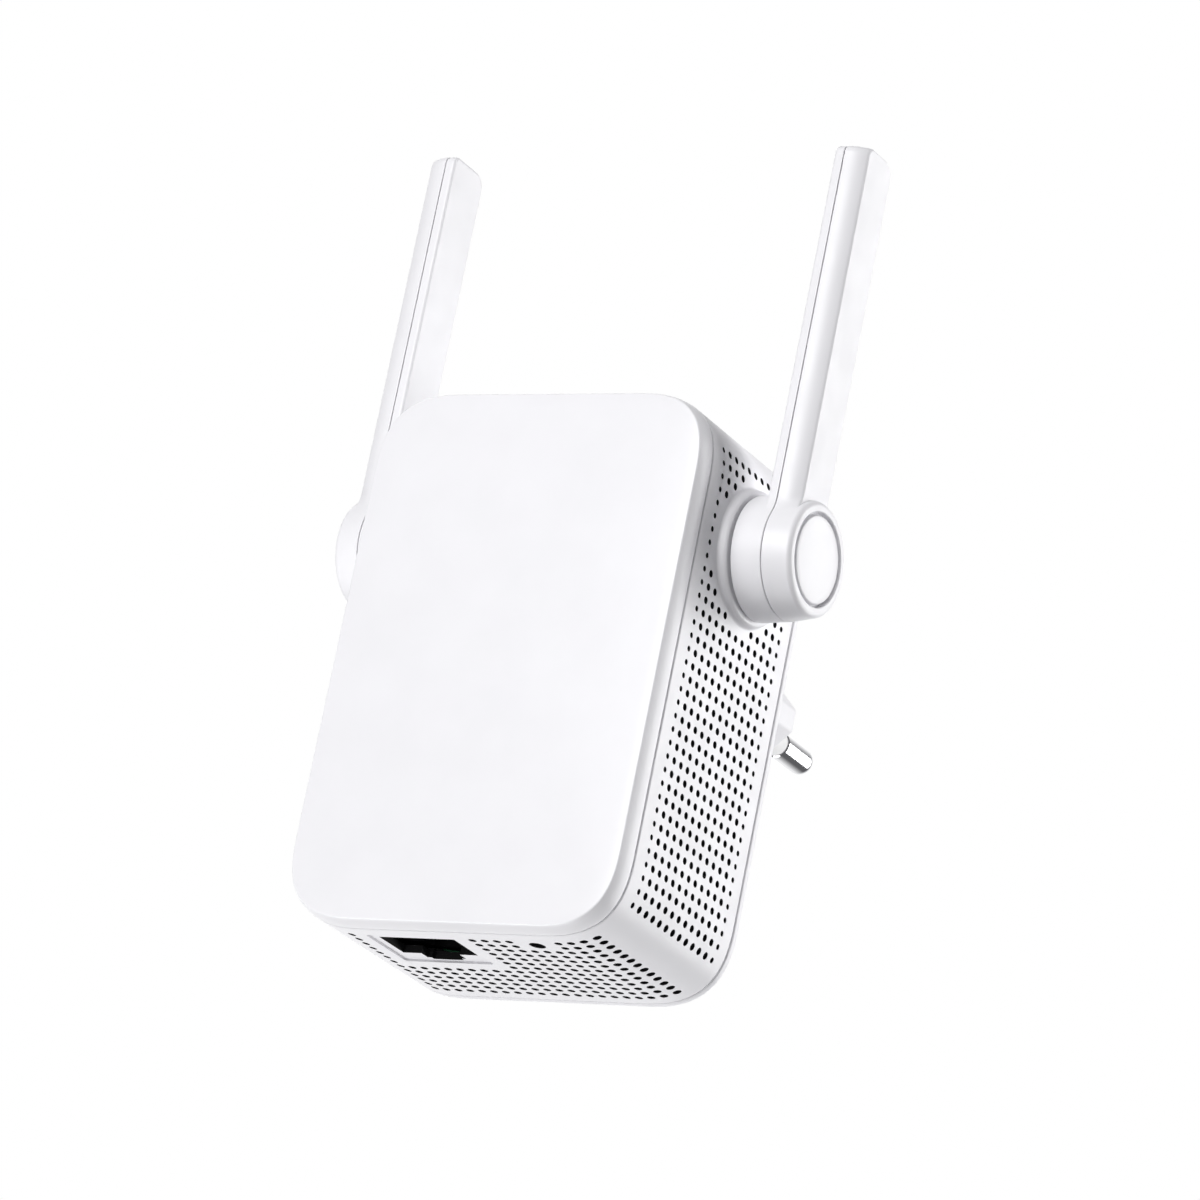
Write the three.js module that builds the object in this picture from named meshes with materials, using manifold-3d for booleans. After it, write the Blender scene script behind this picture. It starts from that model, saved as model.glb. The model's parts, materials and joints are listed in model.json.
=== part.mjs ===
// Plug-in wifi range extender with two swivelling aerials.
// Millimetres. Origin: centre of the plug's seating face. +X right, +Y into the wall socket, +Z up.
import * as THREE from "three";
import { mergeVertices } from "three/addons/utils/BufferGeometryUtils.js";
import Module from "manifold-3d";

const wasm = await Module();
wasm.setup();

// ---- driving dimensions ----
const VENT_PITCH = 2; // the vent grid sets the scale of the case
const CASE_WIDTH = 54.4;
const CASE_HEIGHT = 40.3 * VENT_PITCH;
const CASE_BOTTOM = -51;
const CORNER_REACH = 13; // how far a rounded corner runs along each side
const CORNER_POWER = 2.8; // superellipse power of the corner: fuller than a circle
const CORNER_STEPS = 6;
const WALL = 2;
const GAP = 0.3; // clearance between neighbouring pieces

const FRONT_Y = -56.8;
const COVER_JOINT_Y = -52.7; // front cover meets middle shell
const REAR_JOINT_Y = -22.4; // middle shell meets rear cover
const REAR_Y = -20.6;
const FRONT_EDGE_RADIUS = 2.4;
const REAR_EDGE_RADIUS = 0.8;
const LIP_DEPTH = 1.8;
const LIP_THICKNESS = 1.2;

const PIN_SPACING = 19;
const PIN_LENGTH = 19;
const PIN_RADIUS = 2;
const PIN_CORE_RADIUS = 1.1;
const SLEEVE_RADIUS = 1.95;
const SLEEVE_ROOT = -2.3; // the sleeve starts inside the plug's face
const SLEEVE_LENGTH = 10;
const PLUG_WIDTH = 35.3;
const PLUG_HEIGHT = 14;
const PLUG_TIP_HEIGHT = 3.4;
const PLUG_FLAT_WIDTH = 24.6;
const PLUG_FACE_THICKNESS = 2.6;

const HUB_Y = -37.4;
const HUB_Z = 11.1;
const HUB_RADIUS = 9.1; // beside the case; the inner half of the hub tapers from here to its joint
const HUB_JOINT_RADIUS = 8.9;
const HUB_RIM = 1.5;
const BOSS_RADIUS = 10.4;
const BOSS_HEIGHT = 1.3;
const HUB_START = 1.6; // distances out from the side of the case
const BLADE_START = 4.8;
const CLAMSHELL_JOINT = 6.4;
const BLADE_END = 9.8;
const HUB_END = 10.8;
const BLADE_FRONT = -6.9; // measured from the swivel axis
const BLADE_REAR = 1.8;
const BLADE_TOP = 61.5;
const BLADE_WALL = 1.2;
const BLADE_REAR_CORNER = 2.4;
const BLADE_FRONT_CORNER = 1.3;
const BLADE_FILLET = 5;
const CAP_RADIUS = 6.4;
const CAP_THICKNESS = 1.1;
const CAP_STEM_START = 7.7;
const CAP_STEM_RADIUS = 1.6;
const ELEMENT = { from: 6.65, to: 7.25 }; // the radiating strip, out from the side of the case
const SPINDLE_RADIUS = 3.2;
const SPINDLE_BORE = 1.9;
const SPINDLE_REACH = 5.6; // how far it runs into the case
const SPINDLE_FLANGE = { radius: 4.8, end: 4.5 };
const COAX_PLUG = { x: 15, z: 2, radius: 1.5, height: 1.2 };

const MAIN_BOARD_Y = -52.2;
const BOARD_THICKNESS = 1.5;
const POWER_BOARD_Y = -26.4;
const POST_RADIUS = 2.6;
const POST_HEIGHT = 7;
const POST_BORE = 1.4;
const SCREW = { head: 2.4, shank: 1.05, headHeight: 1.5 };
const SHIELD = { x0: -14, x1: 12, z0: -14, z1: 12, front: -54.4, wall: 0.5 };
const CHIP = { x0: -7, x1: 5, z0: -7, z1: 5, height: 1.1 };
const TRANSFORMER = { x: 2, z: -6, halfWidth: 10, halfHeight: 6, winding: 7.2, depth: 15, flange: 2.5 };
const MAINS_CAPACITOR = { x: -9, z: 9, radius: 5, depth: 15 };
const OUTPUT_CAPACITOR = { x: 14, z: -22, radius: 4, depth: 12 };
const FUSE = { x: 4, z: 14, radius: 1.6, half: 5 };
const HEADER = { x0: 8, x1: 18, z0: -36.3, z1: -33.7 };

const JACK_CENTRE_X = -8.2;
const JACK_FRONT_Y = -48.4;
const JACK_REAR_Y = -41.4;
const JACK_WIDTH = 12.4;
const LATCH_STEPS = [
  { width: 6.4, to: -39.6 },
  { width: 5, to: -38.7 },
];
const JACK_FRAME = { half: 7.4, front: -50.1, rear: -38.4, depth: 0.5 };
const JACK_BODY = { side: 1.8, rear: -37.6, height: 15.5, cavity: 13 };
const WIRES = { count: 8, pitch: 1.02, half: 0.23, low: 3.6, high: 12 };
const RESET = { x: 11.6, y: -48.2, radius: 1.25 };
const SWITCH = { half: 3, rear: 2.2, lift: 2.2, height: 3.6, plunger: 1 };

const SIDE = CASE_WIDTH / 2;
const CASE_TOP = CASE_BOTTOM + CASE_HEIGHT;
const CASE_MIDDLE = (CASE_TOP + CASE_BOTTOM) / 2;
const BOARD_REAR_Y = MAIN_BOARD_Y + BOARD_THICKNESS;

// ---- materials ----
const plastic = (color, roughness) => new THREE.MeshStandardMaterial({ color, roughness, metalness: 0 });
const metal = (color, roughness) => new THREE.MeshStandardMaterial({ color, roughness, metalness: 1 });
const LOOK = {
  gloss: () => plastic(0xf6f6f9, 0.22),
  satin: () => plastic(0xf1f1f5, 0.38),
  sleeve: () => plastic(0xf4f4f4, 0.45),
  chrome: () => metal(0xd9dbdf, 0.12),
  brass: () => metal(0xc9a25a, 0.35),
  steel: () => metal(0xa9adb3, 0.3),
  black: () => plastic(0x101012, 0.45),
  board: () => plastic(0x1d5a3a, 0.5),
  core: () => plastic(0x2b2b2e, 0.6),
  tape: () => plastic(0xd8b23c, 0.5),
  nylon: () => plastic(0xc8c8c4, 0.55),
  cable: () => plastic(0x3a3a3d, 0.5),
};

// ---- solids ----
function solidOf(geometry) {
  const bare = geometry.clone().deleteAttribute("normal").deleteAttribute("uv");
  const merged = mergeVertices(bare, 1e-4);
  return new wasm.Manifold(
    new wasm.Mesh({
      numProp: 3,
      vertProperties: merged.attributes.position.array,
      triVerts: new Uint32Array(merged.index.array),
    }),
  );
}

function geometryOf(solid) {
  const mesh = solid.getMesh();
  const geometry = new THREE.BufferGeometry();
  geometry.setAttribute("position", new THREE.BufferAttribute(new Float32Array(mesh.vertProperties), 3));
  geometry.setIndex(new THREE.BufferAttribute(new Uint32Array(mesh.triVerts), 1));
  geometry.computeVertexNormals();
  return geometry;
}

const join = (...solids) => solids.reduce((all, next) => all.add(next));
const cut = (solid, ...tools) => tools.reduce((rest, tool) => rest.subtract(tool), solid);

// A box between two opposite corners.
function block(x0, x1, y0, y1, z0, z1) {
  const box = new THREE.BoxGeometry(x1 - x0, y1 - y0, z1 - z0);
  return solidOf(box.translate((x0 + x1) / 2, (y0 + y1) / 2, (z0 + z1) / 2));
}

// An outline in (x, z), swept from y0 to y1.
function sweepY(shape, y0, y1, options = {}) {
  const geometry = new THREE.ExtrudeGeometry(shape, { depth: y1 - y0, bevelEnabled: false, ...options });
  return solidOf(geometry.rotateX(Math.PI / 2).translate(0, y1, 0));
}

// An outline in (y, z), swept from x0 to x1.
const YZ_TO_WORLD = new THREE.Matrix4().makeBasis(
  new THREE.Vector3(0, 1, 0),
  new THREE.Vector3(0, 0, 1),
  new THREE.Vector3(1, 0, 0),
);
function sweepX(shape, x0, x1) {
  const geometry = new THREE.ExtrudeGeometry(shape, { depth: x1 - x0, bevelEnabled: false });
  return solidOf(geometry.applyMatrix4(YZ_TO_WORLD).translate(x0, 0, 0));
}

// A profile of [radius, distance] points turned about a line along X, Y or Z through (x, y, z).
function turned(profile, axis, x, y, z, steps = 28) {
  const points = profile.map(([radius, along]) => new THREE.Vector2(radius, along));
  const geometry = new THREE.LatheGeometry(points, steps);
  if (axis === "x") geometry.rotateZ(-Math.PI / 2);
  if (axis === "z") geometry.rotateX(Math.PI / 2);
  return solidOf(geometry.translate(x, y, z));
}

const rod = (radius, from, to, ...place) =>
  turned([[0, from], [radius, from], [radius, to], [0, to]], ...place);
const ring = (inner, outer, from, to, ...place) =>
  turned([[inner, from], [outer, from], [outer, to], [inner, to], [inner, from]], ...place);

function tube(points, radius, steps, sides = 8) {
  const path = new THREE.CatmullRomCurve3(points, false, "centripetal");
  const round = new THREE.Path().absarc(0, 0, radius, 0, 2 * Math.PI);
  const section = new THREE.Shape(round.getPoints(sides / 2 - 1));
  return solidOf(new THREE.ExtrudeGeometry(section, { steps, bevelEnabled: false, extrudePath: path }));
}

const object = new THREE.Group();
object.name = "wifi_range_extender";

function piece(name, solid, material, parent = object) {
  const mesh = new THREE.Mesh(geometryOf(solid), material);
  mesh.name = name;
  parent.add(mesh);
  return mesh;
}

// ---- outline of the case, drawn in from its outside by `inset` ----
function caseOutline(inset) {
  const reach = CORNER_REACH - inset;
  const halfWidth = SIDE - inset;
  const halfHeight = CASE_HEIGHT / 2 - inset;
  const points = [];
  for (let corner = 0; corner < 4; corner++) {
    const signX = corner === 0 || corner === 3 ? 1 : -1;
    const signZ = corner < 2 ? 1 : -1;
    for (let step = 0; step <= CORNER_STEPS; step++) {
      const turn = (step / CORNER_STEPS) * (Math.PI / 2);
      const angle = signX * signZ > 0 ? turn : Math.PI / 2 - turn;
      const c = Math.cos(angle);
      const s = Math.sin(angle);
      const radius = reach / (c ** CORNER_POWER + s ** CORNER_POWER) ** (1 / CORNER_POWER);
      const x = signX * (halfWidth - reach + radius * c);
      const z = CASE_MIDDLE + signZ * (halfHeight - reach + radius * s);
      points.push(new THREE.Vector2(x, z));
    }
  }
  return new THREE.Shape(points);
}

const caseRing = (outer, inner, y0, y1) =>
  cut(sweepY(caseOutline(outer), y0, y1), sweepY(caseOutline(inner), y0 - 1, y1 + 1));

// A full case-sized slab with rounded edges of the given radius at both ends.
function roundedSlab(y0, y1, radius, segments) {
  return sweepY(caseOutline(0), y0 + radius, y1 - radius, {
    bevelEnabled: true,
    bevelThickness: radius,
    bevelSize: radius,
    bevelOffset: -radius,
    bevelSegments: segments,
  });
}

const FAR = 200;

// ---- covers and shell ----
function frontCover() {
  const jointY = COVER_JOINT_Y - GAP / 2;
  const slab = roundedSlab(FRONT_Y, COVER_JOINT_Y + 10, FRONT_EDGE_RADIUS, 4);
  const front = cut(slab, block(-FAR, FAR, jointY, FAR, -FAR, FAR));
  const hollow = sweepY(caseOutline(WALL), FRONT_Y + WALL, 0);
  const lip = caseRing(WALL + GAP, WALL + GAP + LIP_THICKNESS, jointY - 1.5, jointY + LIP_DEPTH);
  const collar = caseRing(WALL - 0.4, WALL + GAP + LIP_THICKNESS, jointY - 2.5, jointY - 1.2);
  piece("front_cover", join(cut(front, hollow), collar, lip), LOOK.gloss());
}

// The opening for a network plug with its stepped latch notch, as an outline in (x, y).
function jackOpening(margin) {
  const half = JACK_WIDTH / 2 + margin;
  const outline = [
    [-half, JACK_FRONT_Y - margin],
    [half, JACK_FRONT_Y - margin],
    [half, JACK_REAR_Y + margin],
  ];
  const left = [[-half, JACK_REAR_Y + margin]];
  let edge = JACK_REAR_Y + margin;
  for (const { width, to } of LATCH_STEPS) {
    outline.push([width / 2 + margin, edge], [width / 2 + margin, to + margin]);
    left.unshift([-width / 2 - margin, edge]);
    left.unshift([-width / 2 - margin, to + margin]);
    edge = to + margin;
  }
  return new THREE.Shape([...outline, ...left].map(([x, y]) => new THREE.Vector2(JACK_CENTRE_X + x, y)));
}

function sweepZ(shape, z0, z1) {
  const geometry = new THREE.ExtrudeGeometry(shape, { depth: z1 - z0, bevelEnabled: false });
  return solidOf(geometry.translate(0, 0, z0));
}

const BOARD_POSTS = [
  { x: 20.6, z: 20 },
  { x: 20.6, z: -38 },
];

function boardPost(side, { x, z }) {
  const front = BOARD_REAR_Y + GAP;
  const rear = front + POST_HEIGHT;
  const post = rod(POST_RADIUS, front, rear, "y", side * x, 0, z, 16);
  const ends = [side * x, side * (SIDE - 1)];
  const rib = block(Math.min(...ends), Math.max(...ends), front, rear, z - 1, z + 1);
  const bore = rod(POST_BORE, front - 1, rear - 1, "y", side * x, 0, z, 12);
  return cut(join(post, rib), bore);
}

function middleShell() {
  const y0 = COVER_JOINT_Y + GAP / 2;
  const y1 = REAR_JOINT_Y - GAP / 2;
  let shell = caseRing(0, WALL, y0, y1);
  for (const side of [-1, 1]) {
    // The boss flares out of the wall in a hollow curve to the round face that the hub turns on.
    const flare = [[0, SIDE - 1], [BOSS_RADIUS, SIDE - 1], [BOSS_RADIUS, SIDE + 0.02]];
    for (let step = 1; step <= 4; step++) {
      const angle = (step / 4) * (Math.PI / 2);
      flare.push([
        BOSS_RADIUS - (BOSS_RADIUS - HUB_RADIUS) * Math.sin(angle),
        SIDE + BOSS_HEIGHT * (1 - Math.cos(angle)),
      ]);
    }
    flare.push([0, SIDE + BOSS_HEIGHT]);
    let boss = turned(flare, "x", 0, HUB_Y, HUB_Z, 32);
    if (side < 0) boss = boss.mirror([1, 0, 0]);
    const bore = rod(SPINDLE_RADIUS + GAP, -FAR, FAR, "x", 0, HUB_Y, HUB_Z, 24);
    const half = block(Math.min(0, side * FAR), Math.max(0, side * FAR), -FAR, FAR, -FAR, FAR);
    shell = cut(join(shell, boss), bore.intersect(half));
    for (const post of BOARD_POSTS) shell = join(shell, boardPost(side, post));
  }
  const recess = block(
    JACK_CENTRE_X - JACK_FRAME.half,
    JACK_CENTRE_X + JACK_FRAME.half,
    JACK_FRAME.front,
    JACK_FRAME.rear,
    CASE_BOTTOM - 1,
    CASE_BOTTOM + JACK_FRAME.depth,
  );
  const socket = sweepZ(jackOpening(0), CASE_BOTTOM - 2, CASE_BOTTOM + WALL + 1);
  const pinhole = rod(RESET.radius, CASE_BOTTOM - 1, CASE_BOTTOM + WALL + 1, "z", RESET.x, RESET.y, 0, 20);
  piece("middle_shell", cut(shell, recess, socket, pinhole), LOOK.satin());
}

// Long six-sided plug body with blunt ends, drawn in by `inset`.
function plugOutline(inset) {
  const x = PLUG_WIDTH / 2 - inset;
  const z = PLUG_HEIGHT / 2 - inset;
  const flat = PLUG_FLAT_WIDTH / 2 - inset * 0.4;
  const tip = PLUG_TIP_HEIGHT / 2 - inset * 0.4;
  const upper = [[x, -tip], [x, tip], [flat, z], [-flat, z]];
  const lower = upper.map(([px, pz]) => [-px, -pz]);
  return new THREE.Shape([...upper, ...lower].map(([px, pz]) => new THREE.Vector2(px, pz)));
}

const POWER_POSTS = [
  { x: -17, z: -32 },
  { x: 17, z: 14 },
];

function rearCover() {
  const jointY = REAR_JOINT_Y + GAP / 2;
  const slab = roundedSlab(REAR_JOINT_Y - 10, REAR_Y, REAR_EDGE_RADIUS, 2);
  const plate = cut(slab, block(-FAR, FAR, -FAR, jointY, -FAR, FAR));
  const lip = caseRing(WALL + GAP, WALL + GAP + LIP_THICKNESS, jointY - LIP_DEPTH, jointY + 0.5);
  const plug = sweepY(plugOutline(0), REAR_Y - 0.5, 0);
  let cover = join(plate, lip, plug);
  cover = cut(cover, sweepY(plugOutline(WALL), REAR_Y - 5, -PLUG_FACE_THICKNESS));
  for (const { x, z } of POWER_POSTS) {
    cover = join(cover, rod(2.4, POWER_BOARD_Y + BOARD_THICKNESS + GAP, jointY + 0.5, "y", x, 0, z, 16));
    cover = cut(cover, rod(POST_BORE, POWER_BOARD_Y, jointY, "y", x, 0, z, 12));
  }
  for (const side of [-1, 1]) {
    cover = cut(cover, rod(SLEEVE_RADIUS + GAP, -5, 1, "y", (side * PIN_SPACING) / 2, 0, 0, 24));
  }
  piece("rear_cover", cover, LOOK.satin());
}

// ---- mains plug ----
function plugPin(side, name) {
  const x = (side * PIN_SPACING) / 2;
  const place = ["y", x, 0, 0, 24];
  const headRear = -PLUG_FACE_THICKNESS - GAP;
  const headFront = headRear - 2.6;
  const headRadius = 2.8;
  const profile = [
    [0, headFront],
    [headRadius, headFront],
    [headRadius, headRear],
    [PIN_CORE_RADIUS, headRear],
    [PIN_CORE_RADIUS, SLEEVE_LENGTH],
    [PIN_RADIUS, SLEEVE_LENGTH],
    [PIN_RADIUS, PIN_LENGTH - 1],
    [PIN_RADIUS - 0.35, PIN_LENGTH - 0.3],
    [PIN_RADIUS - 0.9, PIN_LENGTH],
    [0, PIN_LENGTH],
  ];
  piece(`plug_pin_${name}`, turned(profile, ...place), LOOK.chrome());
  const sleeveBore = PIN_CORE_RADIUS + GAP;
  const sleeve = ring(sleeveBore, SLEEVE_RADIUS, SLEEVE_ROOT, SLEEVE_LENGTH - GAP, ...place);
  piece(`pin_sleeve_${name}`, sleeve, LOOK.sleeve());
  const contactRear = headFront - GAP;
  const blade = block(x - 2, x + 2, POWER_BOARD_Y + BOARD_THICKNESS + GAP, contactRear, -0.4, 0.4);
  const pad = block(x - 2.4, x + 2.4, contactRear - 0.8, contactRear, -2.4, 2.4);
  piece(`pin_contact_${name}`, join(blade, pad), LOOK.brass());
}

// ---- electronics ----
// A pan-head screw along Y with the underside of its head at `seat`.
function screw(seat, length, x, z) {
  const face = seat - SCREW.headHeight;
  const profile = [
    [0, face],
    [SCREW.head - 0.2, face],
    [SCREW.head, face + 0.5],
    [SCREW.head, seat],
    [SCREW.shank, seat],
    [SCREW.shank, seat + length - 0.5],
    [0, seat + length],
  ];
  return turned(profile, "y", x, 0, z, 10);
}

function mainBoard() {
  const seat = MAIN_BOARD_Y - GAP;
  let board = sweepY(caseOutline(4), MAIN_BOARD_Y, BOARD_REAR_Y);
  for (const side of [-1, 1]) {
    BOARD_POSTS.forEach(({ x, z }, index) => {
      const name = `main_board_screw_${side < 0 ? "left" : "right"}_${index + 1}`;
      board = cut(board, rod(POST_BORE, -FAR, FAR, "y", side * x, 0, z, 12));
      piece(name, screw(seat, 7.8, side * x, z), LOOK.steel());
    });
  }
  piece("main_board", board, LOOK.board());

  const { x0, x1, z0, z1, front, wall } = SHIELD;
  const lid = block(x0, x1, front, seat, z0, z1);
  const inside = block(x0 + wall, x1 - wall, front + wall, 0, z0 + wall, z1 - wall);
  piece("rf_shield_can", cut(lid, inside), LOOK.steel());
  const chip = block(CHIP.x0, CHIP.x1, seat - CHIP.height, seat, CHIP.z0, CHIP.z1);
  piece("processor_chip", chip, LOOK.black());
}

function powerBoard() {
  let board = sweepY(caseOutline(5.5), POWER_BOARD_Y, POWER_BOARD_Y + BOARD_THICKNESS);
  const face = POWER_BOARD_Y - GAP;
  POWER_POSTS.forEach(({ x, z }, index) => {
    board = cut(board, rod(POST_BORE, -FAR, FAR, "y", x, 0, z, 12));
    piece(`power_board_screw_${index + 1}`, screw(face, 4.2, x, z), LOOK.steel());
  });
  piece("power_board", board, LOOK.board());

  const { x, z, halfWidth, halfHeight, winding, depth, flange } = TRANSFORMER;
  const coreEnd = (y0, y1) => block(x - halfWidth, x + halfWidth, y0, y1, z - halfHeight, z + halfHeight);
  const coil = rod(winding, face - depth + 2, face - flange - 0.5, "y", x, 0, z, 20);
  const core = join(coreEnd(face - depth, face - depth + flange), coreEnd(face - flange - 1, face), coil);
  piece("transformer", core, LOOK.tape());
  capacitor("mains_capacitor", MAINS_CAPACITOR, face);
  capacitor("output_capacitor", OUTPUT_CAPACITOR, face);
  const fuseY = face - FUSE.radius - 0.4;
  const fuse = rod(FUSE.radius, FUSE.x - FUSE.half, FUSE.x + FUSE.half, "x", 0, fuseY, FUSE.z, 12);
  piece("fuse", fuse, LOOK.nylon());
  const header = block(HEADER.x0, HEADER.x1, BOARD_REAR_Y + GAP, face, HEADER.z0, HEADER.z1);
  piece("board_header", header, LOOK.black());
}

function capacitor(name, { x, z, radius, depth }, face) {
  const front = face - depth;
  const can = [[0, front], [radius - 0.5, front], [radius, front + 0.5], [radius, face], [0, face]];
  piece(name, turned(can, "y", x, 0, z, 20), LOOK.core());
}

// ---- network socket and reset switch ----
function networkSocket() {
  const bottom = CASE_BOTTOM + WALL + GAP;
  const half = JACK_WIDTH / 2 + JACK_BODY.side;
  const left = JACK_CENTRE_X - half;
  const right = JACK_CENTRE_X + half;
  const top = bottom + JACK_BODY.height;
  const body = block(left, right, BOARD_REAR_Y + GAP, JACK_BODY.rear, bottom, top);
  const cavity = sweepZ(jackOpening(0.1), bottom - 1, bottom + JACK_BODY.cavity);
  piece("ethernet_jack", cut(body, cavity), LOOK.black());

  // Sprung wires lean out from the front wall of the socket, all on one carrier bar.
  const wall = JACK_FRONT_Y - 0.1 + GAP;
  const low = bottom + WIRES.low;
  const high = bottom + WIRES.high;
  const reach = (WIRES.count / 2) * WIRES.pitch + 0.1;
  let comb = block(JACK_CENTRE_X - reach, JACK_CENTRE_X + reach, wall, wall + 0.5, high - 0.6, high + 0.4);
  for (let wire = 0; wire < WIRES.count; wire++) {
    const x = JACK_CENTRE_X + (wire - (WIRES.count - 1) / 2) * WIRES.pitch;
    const lean = new THREE.Shape([
      new THREE.Vector2(wall, high),
      new THREE.Vector2(wall, high - 0.5),
      new THREE.Vector2(wall + 1.2, low),
      new THREE.Vector2(wall + 1.6, low),
      new THREE.Vector2(wall + 0.45, high),
    ]);
    comb = join(comb, sweepX(lean, x - WIRES.half, x + WIRES.half));
  }
  piece("ethernet_contacts", comb, LOOK.brass());
}

function resetSwitch() {
  const bottom = CASE_BOTTOM + WALL;
  const low = bottom + SWITCH.lift;
  const high = low + SWITCH.height;
  const place = ["z", RESET.x, RESET.y, 0, 16];
  const front = BOARD_REAR_Y + GAP;
  const rear = RESET.y + SWITCH.rear;
  const body = block(RESET.x - SWITCH.half, RESET.x + SWITCH.half, front, rear, low, high);
  const well = rod(SWITCH.plunger + GAP, low - 1, low + 1.7, ...place);
  piece("reset_switch", cut(body, well), LOOK.core());
  piece("reset_plunger", rod(SWITCH.plunger, bottom + 0.5, low + 0.9, ...place), LOOK.nylon());
}

// ---- aerials: built for the right side, mirrored for the left ----
// Hub disc with the blade rising out of it, in (y, z).
function aerialOutline(inset) {
  const radius = HUB_JOINT_RADIUS - inset;
  const front = HUB_Y + BLADE_FRONT + inset;
  const rear = HUB_Y + BLADE_REAR - inset;
  const top = HUB_Z + BLADE_TOP - inset;
  const rearCorner = BLADE_REAR_CORNER - inset;
  const frontCorner = BLADE_FRONT_CORNER - inset / 2;
  const shape = new THREE.Shape();
  const meetFront = Math.acos((front - HUB_Y) / radius);
  const meetRear = Math.acos((rear - HUB_Y) / radius);
  shape.moveTo(front, HUB_Z + radius * Math.sin(meetFront));
  shape.absarc(HUB_Y, HUB_Z, radius, meetFront, meetRear + 2 * Math.PI, false);
  shape.lineTo(rear, top - rearCorner);
  shape.absarc(rear - rearCorner, top - rearCorner, rearCorner, 0, Math.PI / 2, false);
  shape.lineTo(front + frontCorner, top);
  shape.absarc(front + frontCorner, top - frontCorner, frontCorner, Math.PI / 2, Math.PI, false);
  shape.closePath();
  return shape;
}

// The concave fillet where the front of the blade meets the hub, in (y, z).
function bladeFillet() {
  const radius = BLADE_FILLET;
  const front = HUB_Y + BLADE_FRONT;
  const centreY = front - radius;
  const centreZ = HUB_Z + Math.sqrt((HUB_JOINT_RADIUS + radius) ** 2 - (centreY - HUB_Y) ** 2);
  const touch = Math.atan2(HUB_Z - centreZ, HUB_Y - centreY);
  const shape = new THREE.Shape();
  shape.moveTo(front, centreZ);
  shape.absarc(centreY, centreZ, radius, 0, touch, true);
  shape.lineTo(HUB_Y, HUB_Z);
  shape.lineTo(HUB_Y, centreZ);
  shape.closePath();
  return shape;
}

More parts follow.
